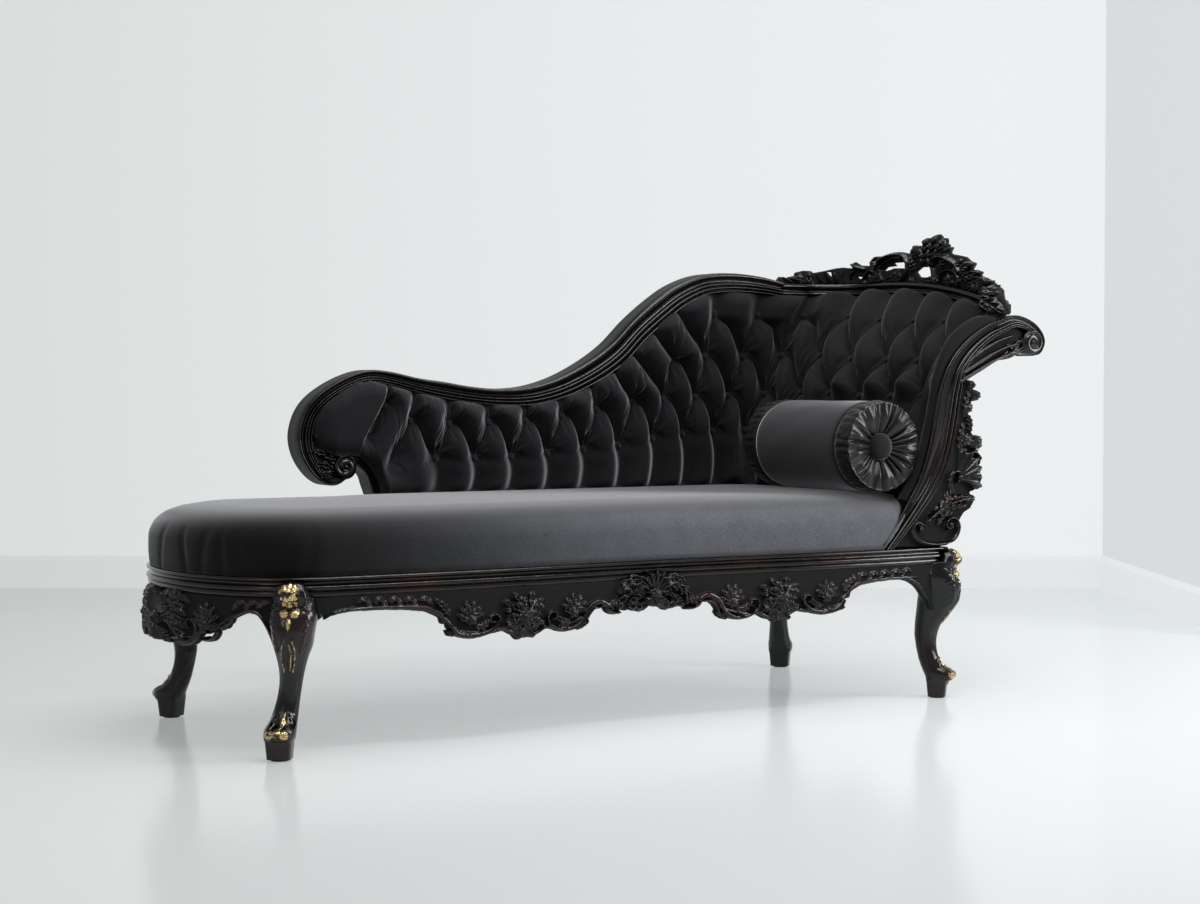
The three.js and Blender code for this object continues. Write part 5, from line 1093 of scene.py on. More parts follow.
def carveFrontApron():
    a = apron
    field = newField(-742, 756, -24, 118, a["step"])
    reach = np.arange(-756, 757, 3.0)
    share = np.abs(reach) / a["reach"]
    drop = a["drop"] * np.where((reach > 0) & (share > 0.9), along(a["headEnd"], share), along(a["outline"], share))
    drop = np.convolve(np.pad(drop, 2, "edge"), [0.1, 0.2, 0.4, 0.2, 0.1], "valid") - 4
    outline = np.vstack([[(-756, -4)], np.column_stack([reach, drop]), [(756, -4)]])
    carveBoard(field, outline, 0)
    punchGround(field, (field["inside"] > 4) & (field["v"] > 0), 0.35, 1.7)
    # reeded edge that follows the lower outline
    rim = np.column_stack([reach, drop - 4.5])[10:-10]
    carveStrap(field, rim[::3], 10, 10, 8, 2)
    for side in (-1, 1):
        def leaf(path, width, rise, lobes=5, base=0):
            carveLeaf(field, mirrored(path, side), width, rise, lobes, base)

        def strap(path, width, tip, rise, reeds=1):
            carveStrap(field, mirrored(path, side), width, tip, rise, reeds)

        def spray(cx, cy, size, start, spread, count, rise):
            turned = start if side > 0 else math.pi - start
            carveSpray(field, side * cx, cy, size, turned, spread, count, rise)
        # leaves beside the shell in the middle
        leaf([(10, 30), (34, 16), (66, 22), (97, 60)], 32, 19, 6)
        leaf([(16, 10), (44, -4), (70, 6), (88, 26)], 20, 15, 4)
        leaf([(6, 42), (30, 56), (56, 54), (76, 62)], 24, 16, 5, 2)
        leaf([(22, 30), (44, 36), (70, 50)], 18, 20, 4)
        leaf([(86, 40), (100, 50), (108, 66)], 16, 14, 3)
        strap([(84, 66), (100, 66), (112, 60), (116, 50), (108, 44), (102, 50)], 9, 5, 13, 1)
        # C scrolls and sprays on both sides of the flower
        strap([(112, 50), (134, 41), (158, 50), (170, 70), (184, 84), (206, 92), (232, 92), (252, 82), (262, 68),
               (256, 56), (244, 56), (240, 66), (248, 70)], 13, 5, 15, 2)
        strap([(128, 52), (146, 54), (160, 68), (164, 84)], 9, 5, 11, 1)
        leaf([(158, 78), (172, 86), (186, 96)], 14, 11, 3)
        spray(196, 62, 44, -math.pi / 2 - 0.1, 2.3, 6, 13)
        carveRose(field, side * 198, 60, 12, 15, 5, 0.4, 1)
        leaf([(206, 76), (228, 74), (244, 60)], 17, 12, 4)
        strap([(482, 70), (470, 84), (450, 91), (424, 92), (398, 86), (380, 72), (374, 60), (384, 52), (396, 58),
               (392, 68), (384, 66)], 13, 5, 15, 2)
        leaf([(466, 82), (478, 86), (490, 80)], 14, 11, 3)
        spray(438, 62, 42, -math.pi / 2 + 0.1, 2.3, 6, 13)
        carveRose(field, side * 436, 60, 12, 15, 5, 0.4, 1)
        leaf([(428, 76), (408, 74), (394, 60)], 17, 12, 4)
        carveFlower(field, side * 316, 60, 50, 22, 8, 107)
        for way, size in ((-2.4, 34), (-1.9, 44), (-1.25, 44), (-0.75, 34)):
            turned = way if side > 0 else math.pi - way
            root = (side * 316 + 34 * math.cos(turned), 60 + 30 * math.sin(way))
            tip = (side * 316 + (34 + size) * math.cos(turned), 60 + (30 + 0.45 * size) * math.sin(way))
            carveLeaf(field, [root, ((root[0] + tip[0]) / 2, (root[1] + tip[1]) / 2 - 3), tip], 15, 12, 3)
        # long stems towards the legs
        strap([(496, 62), (504, 44), (530, 32), (580, 27), (640, 26), (690, 27)], 9, 4, 9, 1)
        for k in range(5):
            leaf([(520 + 32 * k, 26), (534 + 32 * k, 14 - 1.2 * k), (552 + 32 * k, 15)], 12, 8, 3)
            carveBead(field, side * (512 + 32 * k), 17, 4, 6)
        leaf([(484, 50), (498, 30), (516, 18)], 18, 12, 4)
    carveShell(field, 0, 30, 50, -math.pi / 2, 2.6, 7, 22, 3)
    carveShell(field, 0, 30, 30, math.pi / 2, 2.6, 5, 18, 3)
    carveRose(field, 0, 32, 15, 25, 5, 0.2, 3)

    def place(u, v, h):
        x = a["middle"] + u
        return toModel(x, railFront(x) + a["set"] - h, couch["legHeight"] - a["gap"] - v)
    piece = cutSheet("front_apron_carving", field, place, a["back"], 3.5, 0.6)
    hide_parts("apron_front")


def footArc():
    # angle round the foot end for an arc length from its middle
    angles = np.linspace(-math.pi / 2, math.pi / 2, 400)
    x, y = roundPlace(angles, 0)
    arc = np.concatenate([[0], np.cumsum(np.hypot(np.diff(x), np.diff(y)))])
    return arc - arc[-1] / 2, angles


def carveFootApron():
    a = apron
    arc, angles = footArc()
    limit = arc[-1] - 3
    field = newField(-limit, limit, -6, 116, a["step"])
    reach = np.linspace(-limit + 2, limit - 2, 260)
    run = roundHalf * np.abs(np.sin(np.interp(reach, arc, angles)))
    drop = a["drop"] * along(a["footOutline"], run / a["footReach"]) - 4
    outline = np.vstack([[(reach[0], 0)], np.column_stack([reach, drop]), [(reach[-1], 0)]])
    carveBoard(field, outline, 0)
    punchGround(field, field["inside"] > 4, 0.35, 1.7)
    carveStrap(field, np.column_stack([reach, drop - 4])[6:-6:6], 9, 9, 8, 2)
    for side in (-1, 1):
        def leaf(path, width, rise, lobes=5):
            carveLeaf(field, mirrored(path, side), width, rise, lobes)
        leaf([(14, 36), (40, 14), (78, 18), (116, 46)], 36, 15, 6)
        leaf([(16, 58), (50, 54), (86, 72), (116, 96)], 36, 15, 6)
        leaf([(8, 76), (26, 90), (56, 102)], 24, 14, 4)
        leaf([(30, 44), (60, 36), (92, 50), (112, 72)], 26, 16, 5)
        leaf([(40, 8), (84, 4), (130, 20)], 20, 10, 5)
        scroll = [(104, 100), (134, 94), (154, 78), (150, 58), (134, 50), (124, 60), (132, 68)]
        carveStrap(field, mirrored(scroll, side), 14, 5, 15, 2)
        turned = -math.pi / 2 + 0.2 * side
        carveSpray(field, side * 176, 64, 52, turned, 2.6, 7, 13)
        carveRose(field, side * 176, 64, 15, 17, 5, 0.4, 1)
        carveStrap(field, mirrored([(170, 88), (192, 86), (206, 74), (200, 60), (190, 64)], side), 10, 4, 12, 1)
        leaf([(200, 62), (226, 56), (252, 36)], 20, 12, 4)
        for k in range(3):
            leaf([(246 + 26 * k, 28 - 3 * k), (260 + 26 * k, 12), (276 + 26 * k, 12)], 13, 8, 3)
    carveShell(field, 0, 60, 60, -math.pi / 2, 2.4, 7, 19, 3)
    carveShell(field, 0, 60, 44, math.pi / 2, 2.2, 5, 17, 3)
    carveRose(field, 0, 60, 19, 23, 5, 0.2, 2)

    def place(u, v, h):
        x, y = roundPlace(np.interp(u, arc, angles), a["set"] - h)
        return toModel(x - 0.2, y, couch["legHeight"] - a["gap"] - v)
    piece = cutSheet("foot_apron_carving", field, place, a["back"], 3.5, 0.6)
    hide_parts("apron_foot")


carveFrontApron()
carveFootApron()
print("aprons carved")

# cabriole legs

leg = {
    "lean": 38, "sides": 96, "step": 1.9,
    # height, inner and outer reach, half width, squareness and lean
    "stations": [
        (3, -20, 20, 23, 0.4, 0), (36, -23, 24, 26, 0.4, 0), (40, -24, 30, 28, 0.5, 0.02),
        (50, -27, 37, 30, 0.8, 0.04), (60, -32, 35, 30, 0.9, 0.06), (72, -37, 16, 27, 1, 0.12),
        (86, -42, 6, 25, 1.05, 0.18), (113, -48, -1, 22.5, 1.1, 0.3), (142, -52, 0, 22, 1.1, 0.42),
        (170, -51, 10, 24.5, 1.05, 0.52), (197, -48, 29, 30, 0.95, 0.62), (218, -46, 43, 36, 0.85, 0.7),
        (240, -43, 51, 39, 0.85, 0.75), (258, -41, 51, 42, 0.85, 0.76), (272, -40, 46, 45, 0.85, 0.76),
        (284, -40, 42, 45, 0.85, 0.76), (298, -40, 36, 41, 0.85, 0.76), (309, -38, 42, 38, 0.85, 0.76),
        (320, 2, 44, 33, 0.85, 0.76), (331, 4, 40, 27, 0.85, 0.76), (338, 8, 33, 19, 0.9, 0.76),
        (341, 12, 26, 10, 1, 0.76)],
}


def legRelief(field):
    # ornament of a leg seen from its front: v is the height, u the way across; returns the gilt share
    gilt = np.zeros(field["u"].shape)

    def giltWhere(stampAll):
        before = field["height"].copy()
        stampAll()
        raised = field["height"] > before + 1.2
        gilt[raised] = 1
    for side in (-1, 1):
        # scrolls that flank the knee, long leaves down its sides
        for path, *shape in (
                ([(30, 336), (40, 322), (43, 304), (36, 290), (27, 294)], 11, 6, 8, 2),
                ([(26, 334), (30, 318), (30, 302), (24, 292)], 6, 4, 7, 0),
                ([(46, 282), (40, 240), (28, 204), (20, 150), (19, 96)], 4, 3, 2.2, 0)):
            carveStrap(field, mirrored(path, side), *shape)
        carveLeaf(field, mirrored([(24, 286), (36, 262), (32, 232), (22, 206)], side), 19, 7, 6)
        carveLeaf(field, mirrored([(8, 92), (16, 76), (20, 58)], side), 15, 8, 3)
    for k in range(3):
        carveLeaf(field, [(0, 250 - 6 * k), ((k - 1) * 12, 226), ((k - 1) * 11, 176)], 12, 4.5, 4)
    carveBead(field, 0, 44, 16, 5)

    def cartouche():
        carveShell(field, 0, 318, 24, math.pi / 2, 2.8, 5, 9)
        carveRose(field, 0, 316, 17, 12, 5, 0.3, 2)
        carveShell(field, 0, 312, 20, -math.pi / 2, 2.2, 3, 9)

    def beads():
        for side in (-1, 1):
            carveBead(field, side * 10, 284, 9, 9)
        carveBead(field, 0, 266, 5, 5)
        carveLeaf(field, [(0, 276), (0, 266), (0, 254)], 10, 6, 2)

    def veins():
        for side in (-1, 1):
            carveStrap(field, mirrored([(8, 232), (13, 212), (12, 190), (8, 168)], side), 3, 2, 4.5, 0)
        carveStrap(field, [(2, 226), (6, 205), (3, 172)], 3, 2, 5.2, 0)

    def toe():
        for side in (-1, 0, 1):
            carveBead(field, side * 14, 55 - 2 * abs(side), 10, 8)
        carveLeaf(field, [(4, 90), (6, 78), (2, 64)], 13, 7, 2)
    for part in (cartouche, beads, veins, toe):
        giltWhere(part)
    return gilt


def makeLeg(name, x, y, angle, lean):
    table, sides = np.array(leg["stations"], float), leg["sides"]
    z = np.arange(table[0, 0], table[-1, 0] + 1, leg["step"])
    inner, outer, half, square, leans = [
        np.interp(z, *curved(table[:, [0, k]], 8).T) for k in range(1, 6)]
    # the inner side of the shaft stays straight up to the block under the rail
    inner = np.where(z < 311, np.interp(z, table[:17, 0], table[:17, 1]), np.maximum(inner, 2))
    turn = np.linspace(0, 2 * math.pi, sides, endpoint=False)
    # closer together at the front, where the ornament is
    turn = turn - 0.42 * np.sin(turn)
    power = square[:, None]
    sine, cosine = [np.sign(way) * np.abs(way) ** power for way in (np.sin(turn), np.cos(turn))]
    across = sine * half[:, None]
    out = (inner + outer)[:, None] / 2 + (outer - inner)[:, None] / 2 * cosine
    field = blankField(across.copy(), np.repeat(z[:, None], sides, 1))
    gilt = legRelief(field)
    facing = np.clip(np.cos(turn) + 0.15, 0, 1)[None, :] ** 0.5
    out = out + field["height"] * facing * 0.8
    dx, dy = math.cos(angle), math.sin(angle)
    offset = across + leans[:, None] * lean
    points = toModel(x + dx * out - dy * offset, y + dy * out + dx * offset, field["v"])
    rings = points.reshape(len(z), sides, 3)
    piece = makePiece(name + "_cabriole", points, sweepRings(rings), ebonised)
    paint(piece, "gilt", gilt * (np.cos(turn) > 0.1)[None, :])
    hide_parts(name)


# the foot end's legs stand square to the oval, the head's at 45 degrees
legX, legY = legPlace
slope = math.atan2(legY * couch["roundReach"] ** 2, (legX + roundStart) * roundHalf ** 2)
for name, x, y, angle, lean in (
        ("leg_front_foot", -legX, -legY, math.pi + slope, leg["lean"]),
        ("leg_back_foot", -legX, legY, math.pi - slope, -leg["lean"]),
        ("leg_front_head", legX, -legY, -math.pi / 4, 0), ("leg_back_head", legX, legY, math.pi / 4, 0)):
    makeLeg(name, x, y, angle, lean)
print("legs carved")

# moulded seat rails

railShape = {
    "depth": 70, "step": 38, "drop": 30, "ends": 0.4,
    # height down from the top and depth behind the face of the moulding
    "face": [
        (0, 5), (0.6, 2.6), (2.4, 0.8), (4.4, 0.3), (6.2, 1.2), (7.2, 3.2), (8, 5.6), (10, 7.6), (13, 7.8), (15.4, 6),
        (16.4, 3.4), (18, 1), (21, 0), (24, 0.8), (26, 3.4), (26.8, 6), (28, 4.6), (30, 3.4), (33, 3), (35.4, 3.6),
        (37, 4.6)],
}


def makeRails():
    r = railShape
    profile = [(d, couch["railHeight"] - h) for h, d in curved(r["face"], 3)]
    profile += [(r["step"], 0), (r["step"], -r["drop"]), (r["depth"], -r["drop"]), (r["depth"], couch["railHeight"])]
    depth, height = np.array(profile).T
    z = couch["legHeight"] + height
    start, reach = roundStart, couch["headReach"]

    def front(t):
        x = start + (reach - depth - r["ends"] - start) * t
        return x, railFront(x) + depth

    def foot(t):
        x, y = roundPlace(math.pi * (t - 0.5), depth)
        return x - r["ends"] / 2, y

    def back(t):
        x = start + (reach - depth - r["ends"] - start) * t
        return x, couch["backDepth"] - depth

    def head(t):
        low = railFront(float(reach)) + depth + r["ends"]
        return reach - depth, low + (couch["backDepth"] - depth - r["ends"] - low) * t
    # the front rail runs on round the foot end
    lines = {
        "front": [foot(t) for t in np.linspace(1, 0, 96)] + [front(t) for t in np.linspace(0.012, 1, 90)],
        "back": [back(t) for t in (0, 1)], "head": [head(t) for t in (0, 1)],
    }
    for name, line in lines.items():
        rings = [toModel(x, y, z) for x, y in line]
        piece = makePiece("moulded_rail_" + name, np.concatenate(rings), sweepRings(rings), ebonised)
        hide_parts(*(("seat_rail_front", "seat_rail_foot") if name == "front" else ("seat_rail_" + name,)))


makeRails()
print("rails moulded")

# moulded bands of the back and the head's front post

band = {
    "shares": [
        (0.844, 0.832, 0.594), (0.77, 0.845, 0.688), (0.681, 0.85, 0.75), (0.597, 0.839, 0.812),
        (0.524, 0.802, 0.906), (0.461, 0.748, 0.969), (0.398, 0.684, 0.969), (0.333, 0.605, 0.969),
        (0.26, 0.545, 0.906), (0.173, 0.495, 0.812), (0.084, 0.467, 0.719), (-0.006, 0.463, 0.625),
        (-0.084, 0.471, 0.609), (-0.157, 0.485, 0.625), (-0.223, 0.5, 0.531), (-0.304, 0.523, 0.484),
        (-0.361, 0.527, 0.438), (-0.419, 0.501, 0.469), (-0.472, 0.459, 0.5), (-0.503, 0.413, 0.531),
        (-0.517, 0.353, 0.562), (-0.513, 0.3, 0.516), (-0.495, 0.252, 0.438), (-0.469, 0.215, 0.312),
        (-0.44, 0.206, 0.25), (-0.412, 0.221, 0.12)],
    "front": 300, "back": 360, "eye": (-0.417, 0.251, 28), "stations": 420,
    "feather": [
        (-0.508, 0.346), (-0.501, 0.297), (-0.482, 0.248), (-0.459, 0.217), (-0.438, 0.21),
        (-0.419, 0.237), (-0.429, 0.275), (-0.445, 0.3), (-0.476, 0.318)],
    # share across from the velvet's edge to the outer edge, and depth behind the front plane
    "section": [
        (0, 8), (0.008, 3), (0.03, 0.6), (0.06, 0), (0.09, 0.8), (0.115, 3.6), (0.13, 6.5), (0.15, 7.5), (0.17, 4),
        (0.2, 1.2), (0.24, 0.2), (0.28, 1), (0.31, 4), (0.33, 7.5), (0.35, 4.4), (0.38, 1.4), (0.42, 0.4),
        (0.46, 1.2), (0.49, 4), (0.51, 7), (0.56, 9.4), (0.62, 10), (0.68, 8.6), (0.73, 5), (0.76, 2), (0.8, 0.4),
        (0.85, 0), (0.9, 0.6), (0.94, 2.4), (0.97, 5.4), (1, 11)],
    "postSection": [
        (0, 6), (0.01, 2.5), (0.03, 0.8), (0.05, 0.4), (0.075, 1.4), (0.09, 3.6), (0.1, 4.8), (0.115, 3.2),
        (0.14, 1.6), (0.165, 1.8), (0.18, 3.4), (0.22, 7), (0.3, 10.5), (0.38, 11.5), (0.45, 10), (0.5, 6),
        (0.52, 3), (0.56, 0.8), (0.6, 0), (0.64, 0.8), (0.675, 3.4), (0.69, 6.4), (0.71, 4), (0.745, 1.2),
        (0.785, 0.4), (0.825, 1.2), (0.855, 3.8), (0.87, 6.2), (0.89, 3.8), (0.92, 1.8), (0.955, 1.6), (0.985, 4),
        (1, 9)],
}


def makeBand(name, line, width, side, front, back, face="section"):
    # side points to the velvet
    section = curved(band[face], 2)
    rings = []
    for (x, z), wide, (sideX, sideZ) in zip(line, width, side):
        across = np.concatenate([0.5 - section[:, 0], [-0.5, 0.5]]) * wide
        y = np.concatenate([front + section[:, 1] * min(1, wide / 40), [back, back]])
        rings.append(toModel(x + sideX * across, y, z + sideZ * across))
    piece = makePiece(name, np.concatenate(rings), sweepRings(rings), ebonised)
    # the sides are only stained
    paint(piece, "ground", np.tile(np.concatenate([np.zeros(len(section) - 1), [0.4, 0.5, 0.5]]), len(line)))
    return piece


def makeVolute(name, cx, cz, radius, front, back, way, start, turns=1.6):
    # the last turns of a scroll, rolled in and rising to a round eye; way is 1 against the clock
    rows, sides, bulge = 30, 88, 0.24
    turn = np.linspace(0, 2 * math.pi, sides, endpoint=False)

    def ring(share, y):
        return toModel(cx + share * radius * np.cos(turn), y, cz + share * radius * np.sin(turn))
    rings = [ring(1, back)]
    for r in np.linspace(1, 0.03, rows):
        arm = np.abs(np.sin(math.pi * (turns * (1 - r) - way * (turn - start) / (2 * math.pi)))) ** 0.55
        eye = math.sqrt(max(0, 1 - (r / bulge) ** 2))
        rim = smoothStep(1 - r, 0, 0.1)
        lift = rim * (0.2 * arm + 0.1 * (1 - r)) * (1 - smoothStep(0.3 - r, 0, 0.1)) + 0.34 * eye
        rings.append(ring(r, front + 3 - radius * lift))
    piece = makePiece(name, np.concatenate(rings), sweepRings(rings), ebonised)
    return piece


def shareOutline(shares):
    return np.array([(uprightX(x), uprightZ(z)) for x, z in shares])


def makeBackBand():
    b = band
    line, width, side = bandLine(b["shares"], b["stations"])
    if side[0, 1] > 0:
        side = -side
    piece = makeBand("moulded_back_band", line, width, side, b["front"], b["back"])
    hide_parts("back_top_rail")
    ex, ez, radius = b["eye"]
    makeVolute("back_scroll_eye", uprightX(ex), uprightZ(ez), radius, b["front"] - 3, b["back"] - 1, 1, -1.6)
    outline = shareOutline(b["feather"])
    field = newField(-500, -380, 480, 620, 1.2)
    carveBoard(field, curved(np.vstack([outline, outline[:1]])), 0)
    for root, tip in (((-408, 548), (-478, 604)), ((-414, 533), (-486, 568)), ((-422, 518), (-482, 534)),
                      ((-430, 508), (-462, 504))):
        bend = ((root[0] + tip[0]) / 2 + 4, (root[1] + tip[1]) / 2 + 9)
        carveLeaf(field, [root, bend, tip], 20, 13, 4)
    carveStrap(field, [(-402, 556), (-420, 556), (-444, 568), (-474, 600)], 7, 4, 13, 0)

    def place(u, v, h):
        return toModel(u, b["front"] + 7 - h, v)
    cutSheet("back_scroll_leaf", field, place, -48, 2.5, 0.4)


def makeFootPost():
    outline = [
        (-0.406, 0.301), (-0.38, 0.285), (-0.357, 0.257), (-0.338, 0.222), (-0.327, 0.187),
        (-0.323, 0.157), (-0.304, 0.074), (-0.283, 0.001), (-0.307, 0.001), (-0.325, 0.074), (-0.342, 0.154),
        (-0.352, 0.191), (-0.363, 0.226), (-0.395, 0.262)]
    spots = shareOutline(outline)
    right, left = curved(spots[:8], 10), curved(spots[8:][::-1], 10)
    share = np.linspace(0, 1, 60)
    right, left = spaced(right, share), spaced(left, share)
    line, across = (right + left) / 2, right - left
    width = np.linalg.norm(across, axis=1)
    piece = makeBand("moulded_foot_post", line, width, across / width[:, None], 303, 358)
    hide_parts("back_foot_post")


def makePost():
    line, width, side = bandLine(post["band"], 300)
    piece = makeBand("moulded_head_post", line, width, side, post["front"], post["back"], "postSection")
    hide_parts("head_post_front")
    ex, ez, radius = post["eye"]
    makeVolute("head_scroll_eye", uprightX(ex), uprightZ(ez), radius, post["front"] - 3, post["back"] - 1, -1, 4.2)
    outline = shareOutline(post["leaf"])
    field = newField(835, 1065, 705, 860, 1.3)
    carveBoard(field, curved(np.vstack([outline, outline[:1]])), 0)
    carveStrap(field, [(846, 722), (900, 748), (960, 776), (1016, 792)], 13, 7, 12, 0)
    carveStrap(field, [(856, 742), (908, 768), (960, 794), (1006, 808)], 13, 6, 11, 0)
    carveStrap(field, [(870, 768), (918, 796), (960, 816), (1000, 828)], 11, 6, 9, 0)
    carveLeaf(field, [(960, 778), (1000, 786), (1046, 806)], 22, 14, 3)
    carveLeaf(field, [(985, 806), (1010, 806), (1040, 824)], 18, 12, 3)

    def place(u, v, h):
        return toModel(u, post["front"] + 10 - h, v)
    cutSheet("head_scroll_leaf", field, place, -50, 2.5, 0.4)


makeBackBand()
makeFootPost()
makePost()
print("bands moulded")

# top rail of the head, and the pierced crest over it

topRail = {
    "start": 604, "height": 32, "front": 6, "back": 48, "count": 220, "gap": 16,
    # share of the height and depth behind the face
    "face": [(0, 5), (0.03, 2), (0.1, 0.3), (0.2, 0), (0.3, 1.4), (0.36, 4.2), (0.42, 5.6), (0.52, 5), (0.56, 2.4),
             (0.64, 0.6), (0.74, 0), (0.84, 0.6), (0.92, 2.4), (0.98, 5), (1, 7)],
}


def makeTopRail():
    t = topRail
    face = curved(t["face"], 3)
    rings = []
    end = padRunEnd - t["gap"]
    for run in np.linspace(t["start"], end, t["count"]):
        # it thins out under the scroll of the post
        ends = 1 - 0.35 * float(smoothStep(run, padRunEnd - 50, end))
        out = np.concatenate([t["front"] - face[:, 1], [-t["back"] * ends, -t["back"] * ends]])
        up = np.concatenate([face[:, 0] * t["height"], [t["height"], 0]]) * ends
        runs = np.full(len(out), run)
        base = headTop(runs)
        x, y = wallPlan(runs, base, out)[:, :2].T
        rings.append(toModel(x, y, base + up))
    piece = makePiece("moulded_head_rail", np.concatenate(rings), sweepRings(rings), ebonised)
    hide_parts("head_top_rail")


makeTopRail()

crest = {
    "start": 604, "length": 760, "tall": 125, "rail": 32.4, "board": -15, "back": -11, "step": 1.5,
    # the foot of the carving laps over the rail from here on
    "lap": 27, "lapFrom": (1240, 1300), "lapHeight": 34,
    # shares of the length and height from here on
    "outline": [
      [0, -0.06], [0.002, 0.064], [0.009, 0.138], [0.023, 0.09], [0.036, 0.145], [0.048, 0.143],
      [0.051, 0.231], [0.077, 0.276], [0.1, 0.273], [0.109, 0.233], [0.141, 0.275], [0.174, 0.327],
      [0.197, 0.343], [0.226, 0.322], [0.217, 0.393], [0.235, 0.451], [0.252, 0.375], [0.29, 0.354],
      [0.302, 0.455], [0.317, 0.474], [0.319, 0.542], [0.342, 0.529], [0.38, 0.572], [0.436, 0.588],
      [0.492, 0.543], [0.501, 0.642], [0.529, 0.71], [0.56, 0.716], [0.565, 0.829], [0.61, 0.937],
      [0.63, 0.962], [0.64, 0.926], [0.655, 0.799], [0.679, 0.784], [0.678, 0.667], [0.692, 0.607],
      [0.766, 0.607], [0.799, 0.517], [0.773, 0.382], [0.769, 0.329], [0.825, 0.393], [0.854, 0.305],
      [0.883, 0.323], [0.914, 0.288], [0.94, 0.23], [0.966, 0.16], [0.99, 0.05], [1.005, -0.08],
      [1.02, -0.2], [1.015, -0.3], [0.985, -0.29], [0.95, -0.22], [0.92, -0.06],
    ],
    "holes": [
      [[0.335, 0.219], [0.356, 0.306], [0.404, 0.319], [0.39, 0.383], [0.451, 0.39], [0.473, 0.326],
        [0.471, 0.252], [0.423, 0.27], [0.389, 0.265]],
      [[0.51, 0.196], [0.538, 0.29], [0.601, 0.328], [0.602, 0.253], [0.591, 0.096], [0.528, 0.097]],
      [[0.24, 0.147], [0.274, 0.123], [0.259, 0.045]],
      [[0.272, 0.192], [0.303, 0.16], [0.287, 0.085]],
      [[0.15, 0.25], [0.162, 0.249], [0.164, 0.15]],
    ],
    # width, width at the tip, rise and line, as shares
    "straps": [
      [0.085, 0.045, 0.85, [
        [0.322, 0.312], [0.34, 0.451], [0.375, 0.52], [0.427, 0.543], [0.468, 0.487], [0.482, 0.333],
        [0.476, 0.164], [0.451, 0.028], [0.405, -0.024],
      ]],
      [0.045, 0.023, 0.6, [[0.329, 0.276], [0.367, 0.394], [0.408, 0.47], [0.445, 0.472]]],
      [0.125, 0.057, 1, [
        [0.607, 0.354], [0.62, 0.464], [0.657, 0.531], [0.701, 0.49], [0.738, 0.43], [0.753, 0.306],
      ]],
      [0.062, 0.051, 0.8, [
        [0.648, 0.095], [0.661, 0.218], [0.694, 0.293], [0.731, 0.287], [0.748, 0.165], [0.735, 0.022],
        [0.694, -0.065], [0.661, -0.031],
      ]],
      [0.097, 0.057, 0.7, [
        [0.59, 0.454], [0.61, 0.272], [0.619, 0.025], [0.639, -0.146], [0.694, -0.166], [0.775, -0.082],
      ]],
      [0.068, 0.045, 0.55, [
        [0.205, -0.127], [0.261, -0.176], [0.352, -0.186], [0.45, -0.148], [0.547, -0.184],
      ]],
      [0.068, 0.023, 0.75, [[0.187, -0.126], [0.151, -0.049], [0.128, 0.074], [0.118, 0.214]]],
      [0.068, 0.023, 0.75, [[0.198, -0.144], [0.168, -0.008], [0.151, 0.138], [0.144, 0.261]]],
      [0.074, 0.023, 0.8, [[0.214, -0.152], [0.187, 0.014], [0.174, 0.176], [0.174, 0.313]]],
      [0.074, 0.023, 0.8, [[0.227, -0.148], [0.204, 0.013], [0.195, 0.16], [0.201, 0.328]]],
      [0.074, 0.028, 0.8, [[0.241, -0.156], [0.221, 0.011], [0.222, 0.171], [0.244, 0.313]]],
      [0.068, 0.028, 0.7, [[0.266, 0.294], [0.243, 0.333], [0.221, 0.401]]],
      [0.062, 0.028, 0.7, [[0.251, -0.14], [0.255, 0.005], [0.273, 0.147], [0.295, 0.286]]],
      [0.085, 0.028, 0.8, [[0.297, 0.242], [0.301, 0.4], [0.31, 0.527]]],
      [0.097, 0.034, 0.8, [[0.109, -0.126], [0.073, -0.03], [0.059, 0.096], [0.058, 0.218]]],
      [0.097, 0.04, 0.8, [[0.129, -0.142], [0.096, -0.004], [0.087, 0.144], [0.096, 0.261]]],
      [0.074, 0.028, 0.6, [[0.068, -0.101], [0.037, 0.009], [0.016, 0.12]]],
      [0.131, 0.114, 0.9, [[0.559, 0.341], [0.567, 0.51], [0.575, 0.708], [0.582, 0.871]]],
      [0.142, 0.125, 1, [[0.59, 0.349], [0.601, 0.547], [0.619, 0.748], [0.63, 0.929]]],
      [0.125, 0.097, 0.9, [[0.612, 0.439], [0.638, 0.616], [0.66, 0.792], [0.665, 0.899]]],
      [0.097, 0.062, 0.8, [[0.624, 0.416], [0.661, 0.583], [0.695, 0.739]]],
      [0.125, 0.04, 0.85, [[0.754, 0.247], [0.771, 0.404], [0.812, 0.528]]],
      [0.114, 0.04, 0.85, [[0.759, 0.175], [0.795, 0.287], [0.848, 0.402]]],
      [0.108, 0.04, 0.85, [[0.769, 0.075], [0.819, 0.21], [0.877, 0.317]]],
      [0.102, 0.04, 0.8, [[0.779, -0.024], [0.841, 0.139], [0.907, 0.322]]],
      [0.097, 0.04, 0.7, [[0.79, -0.107], [0.863, 0.071], [0.935, 0.275]]],
    ],
    "roses": [
      [0.321, 0.087, 0.17, 0.95], [0.423, 0.145, 0.125, 0.8], [0.7, 0.121, 0.114, 0.95],
      [0.576, -0.036, 0.097, 0.8], [0.5, 0.012, 0.074, 0.7], [0.523, 0.6, 0.119, 0.9],
      [0.266, -0.026, 0.08, 0.6],
    ],
}


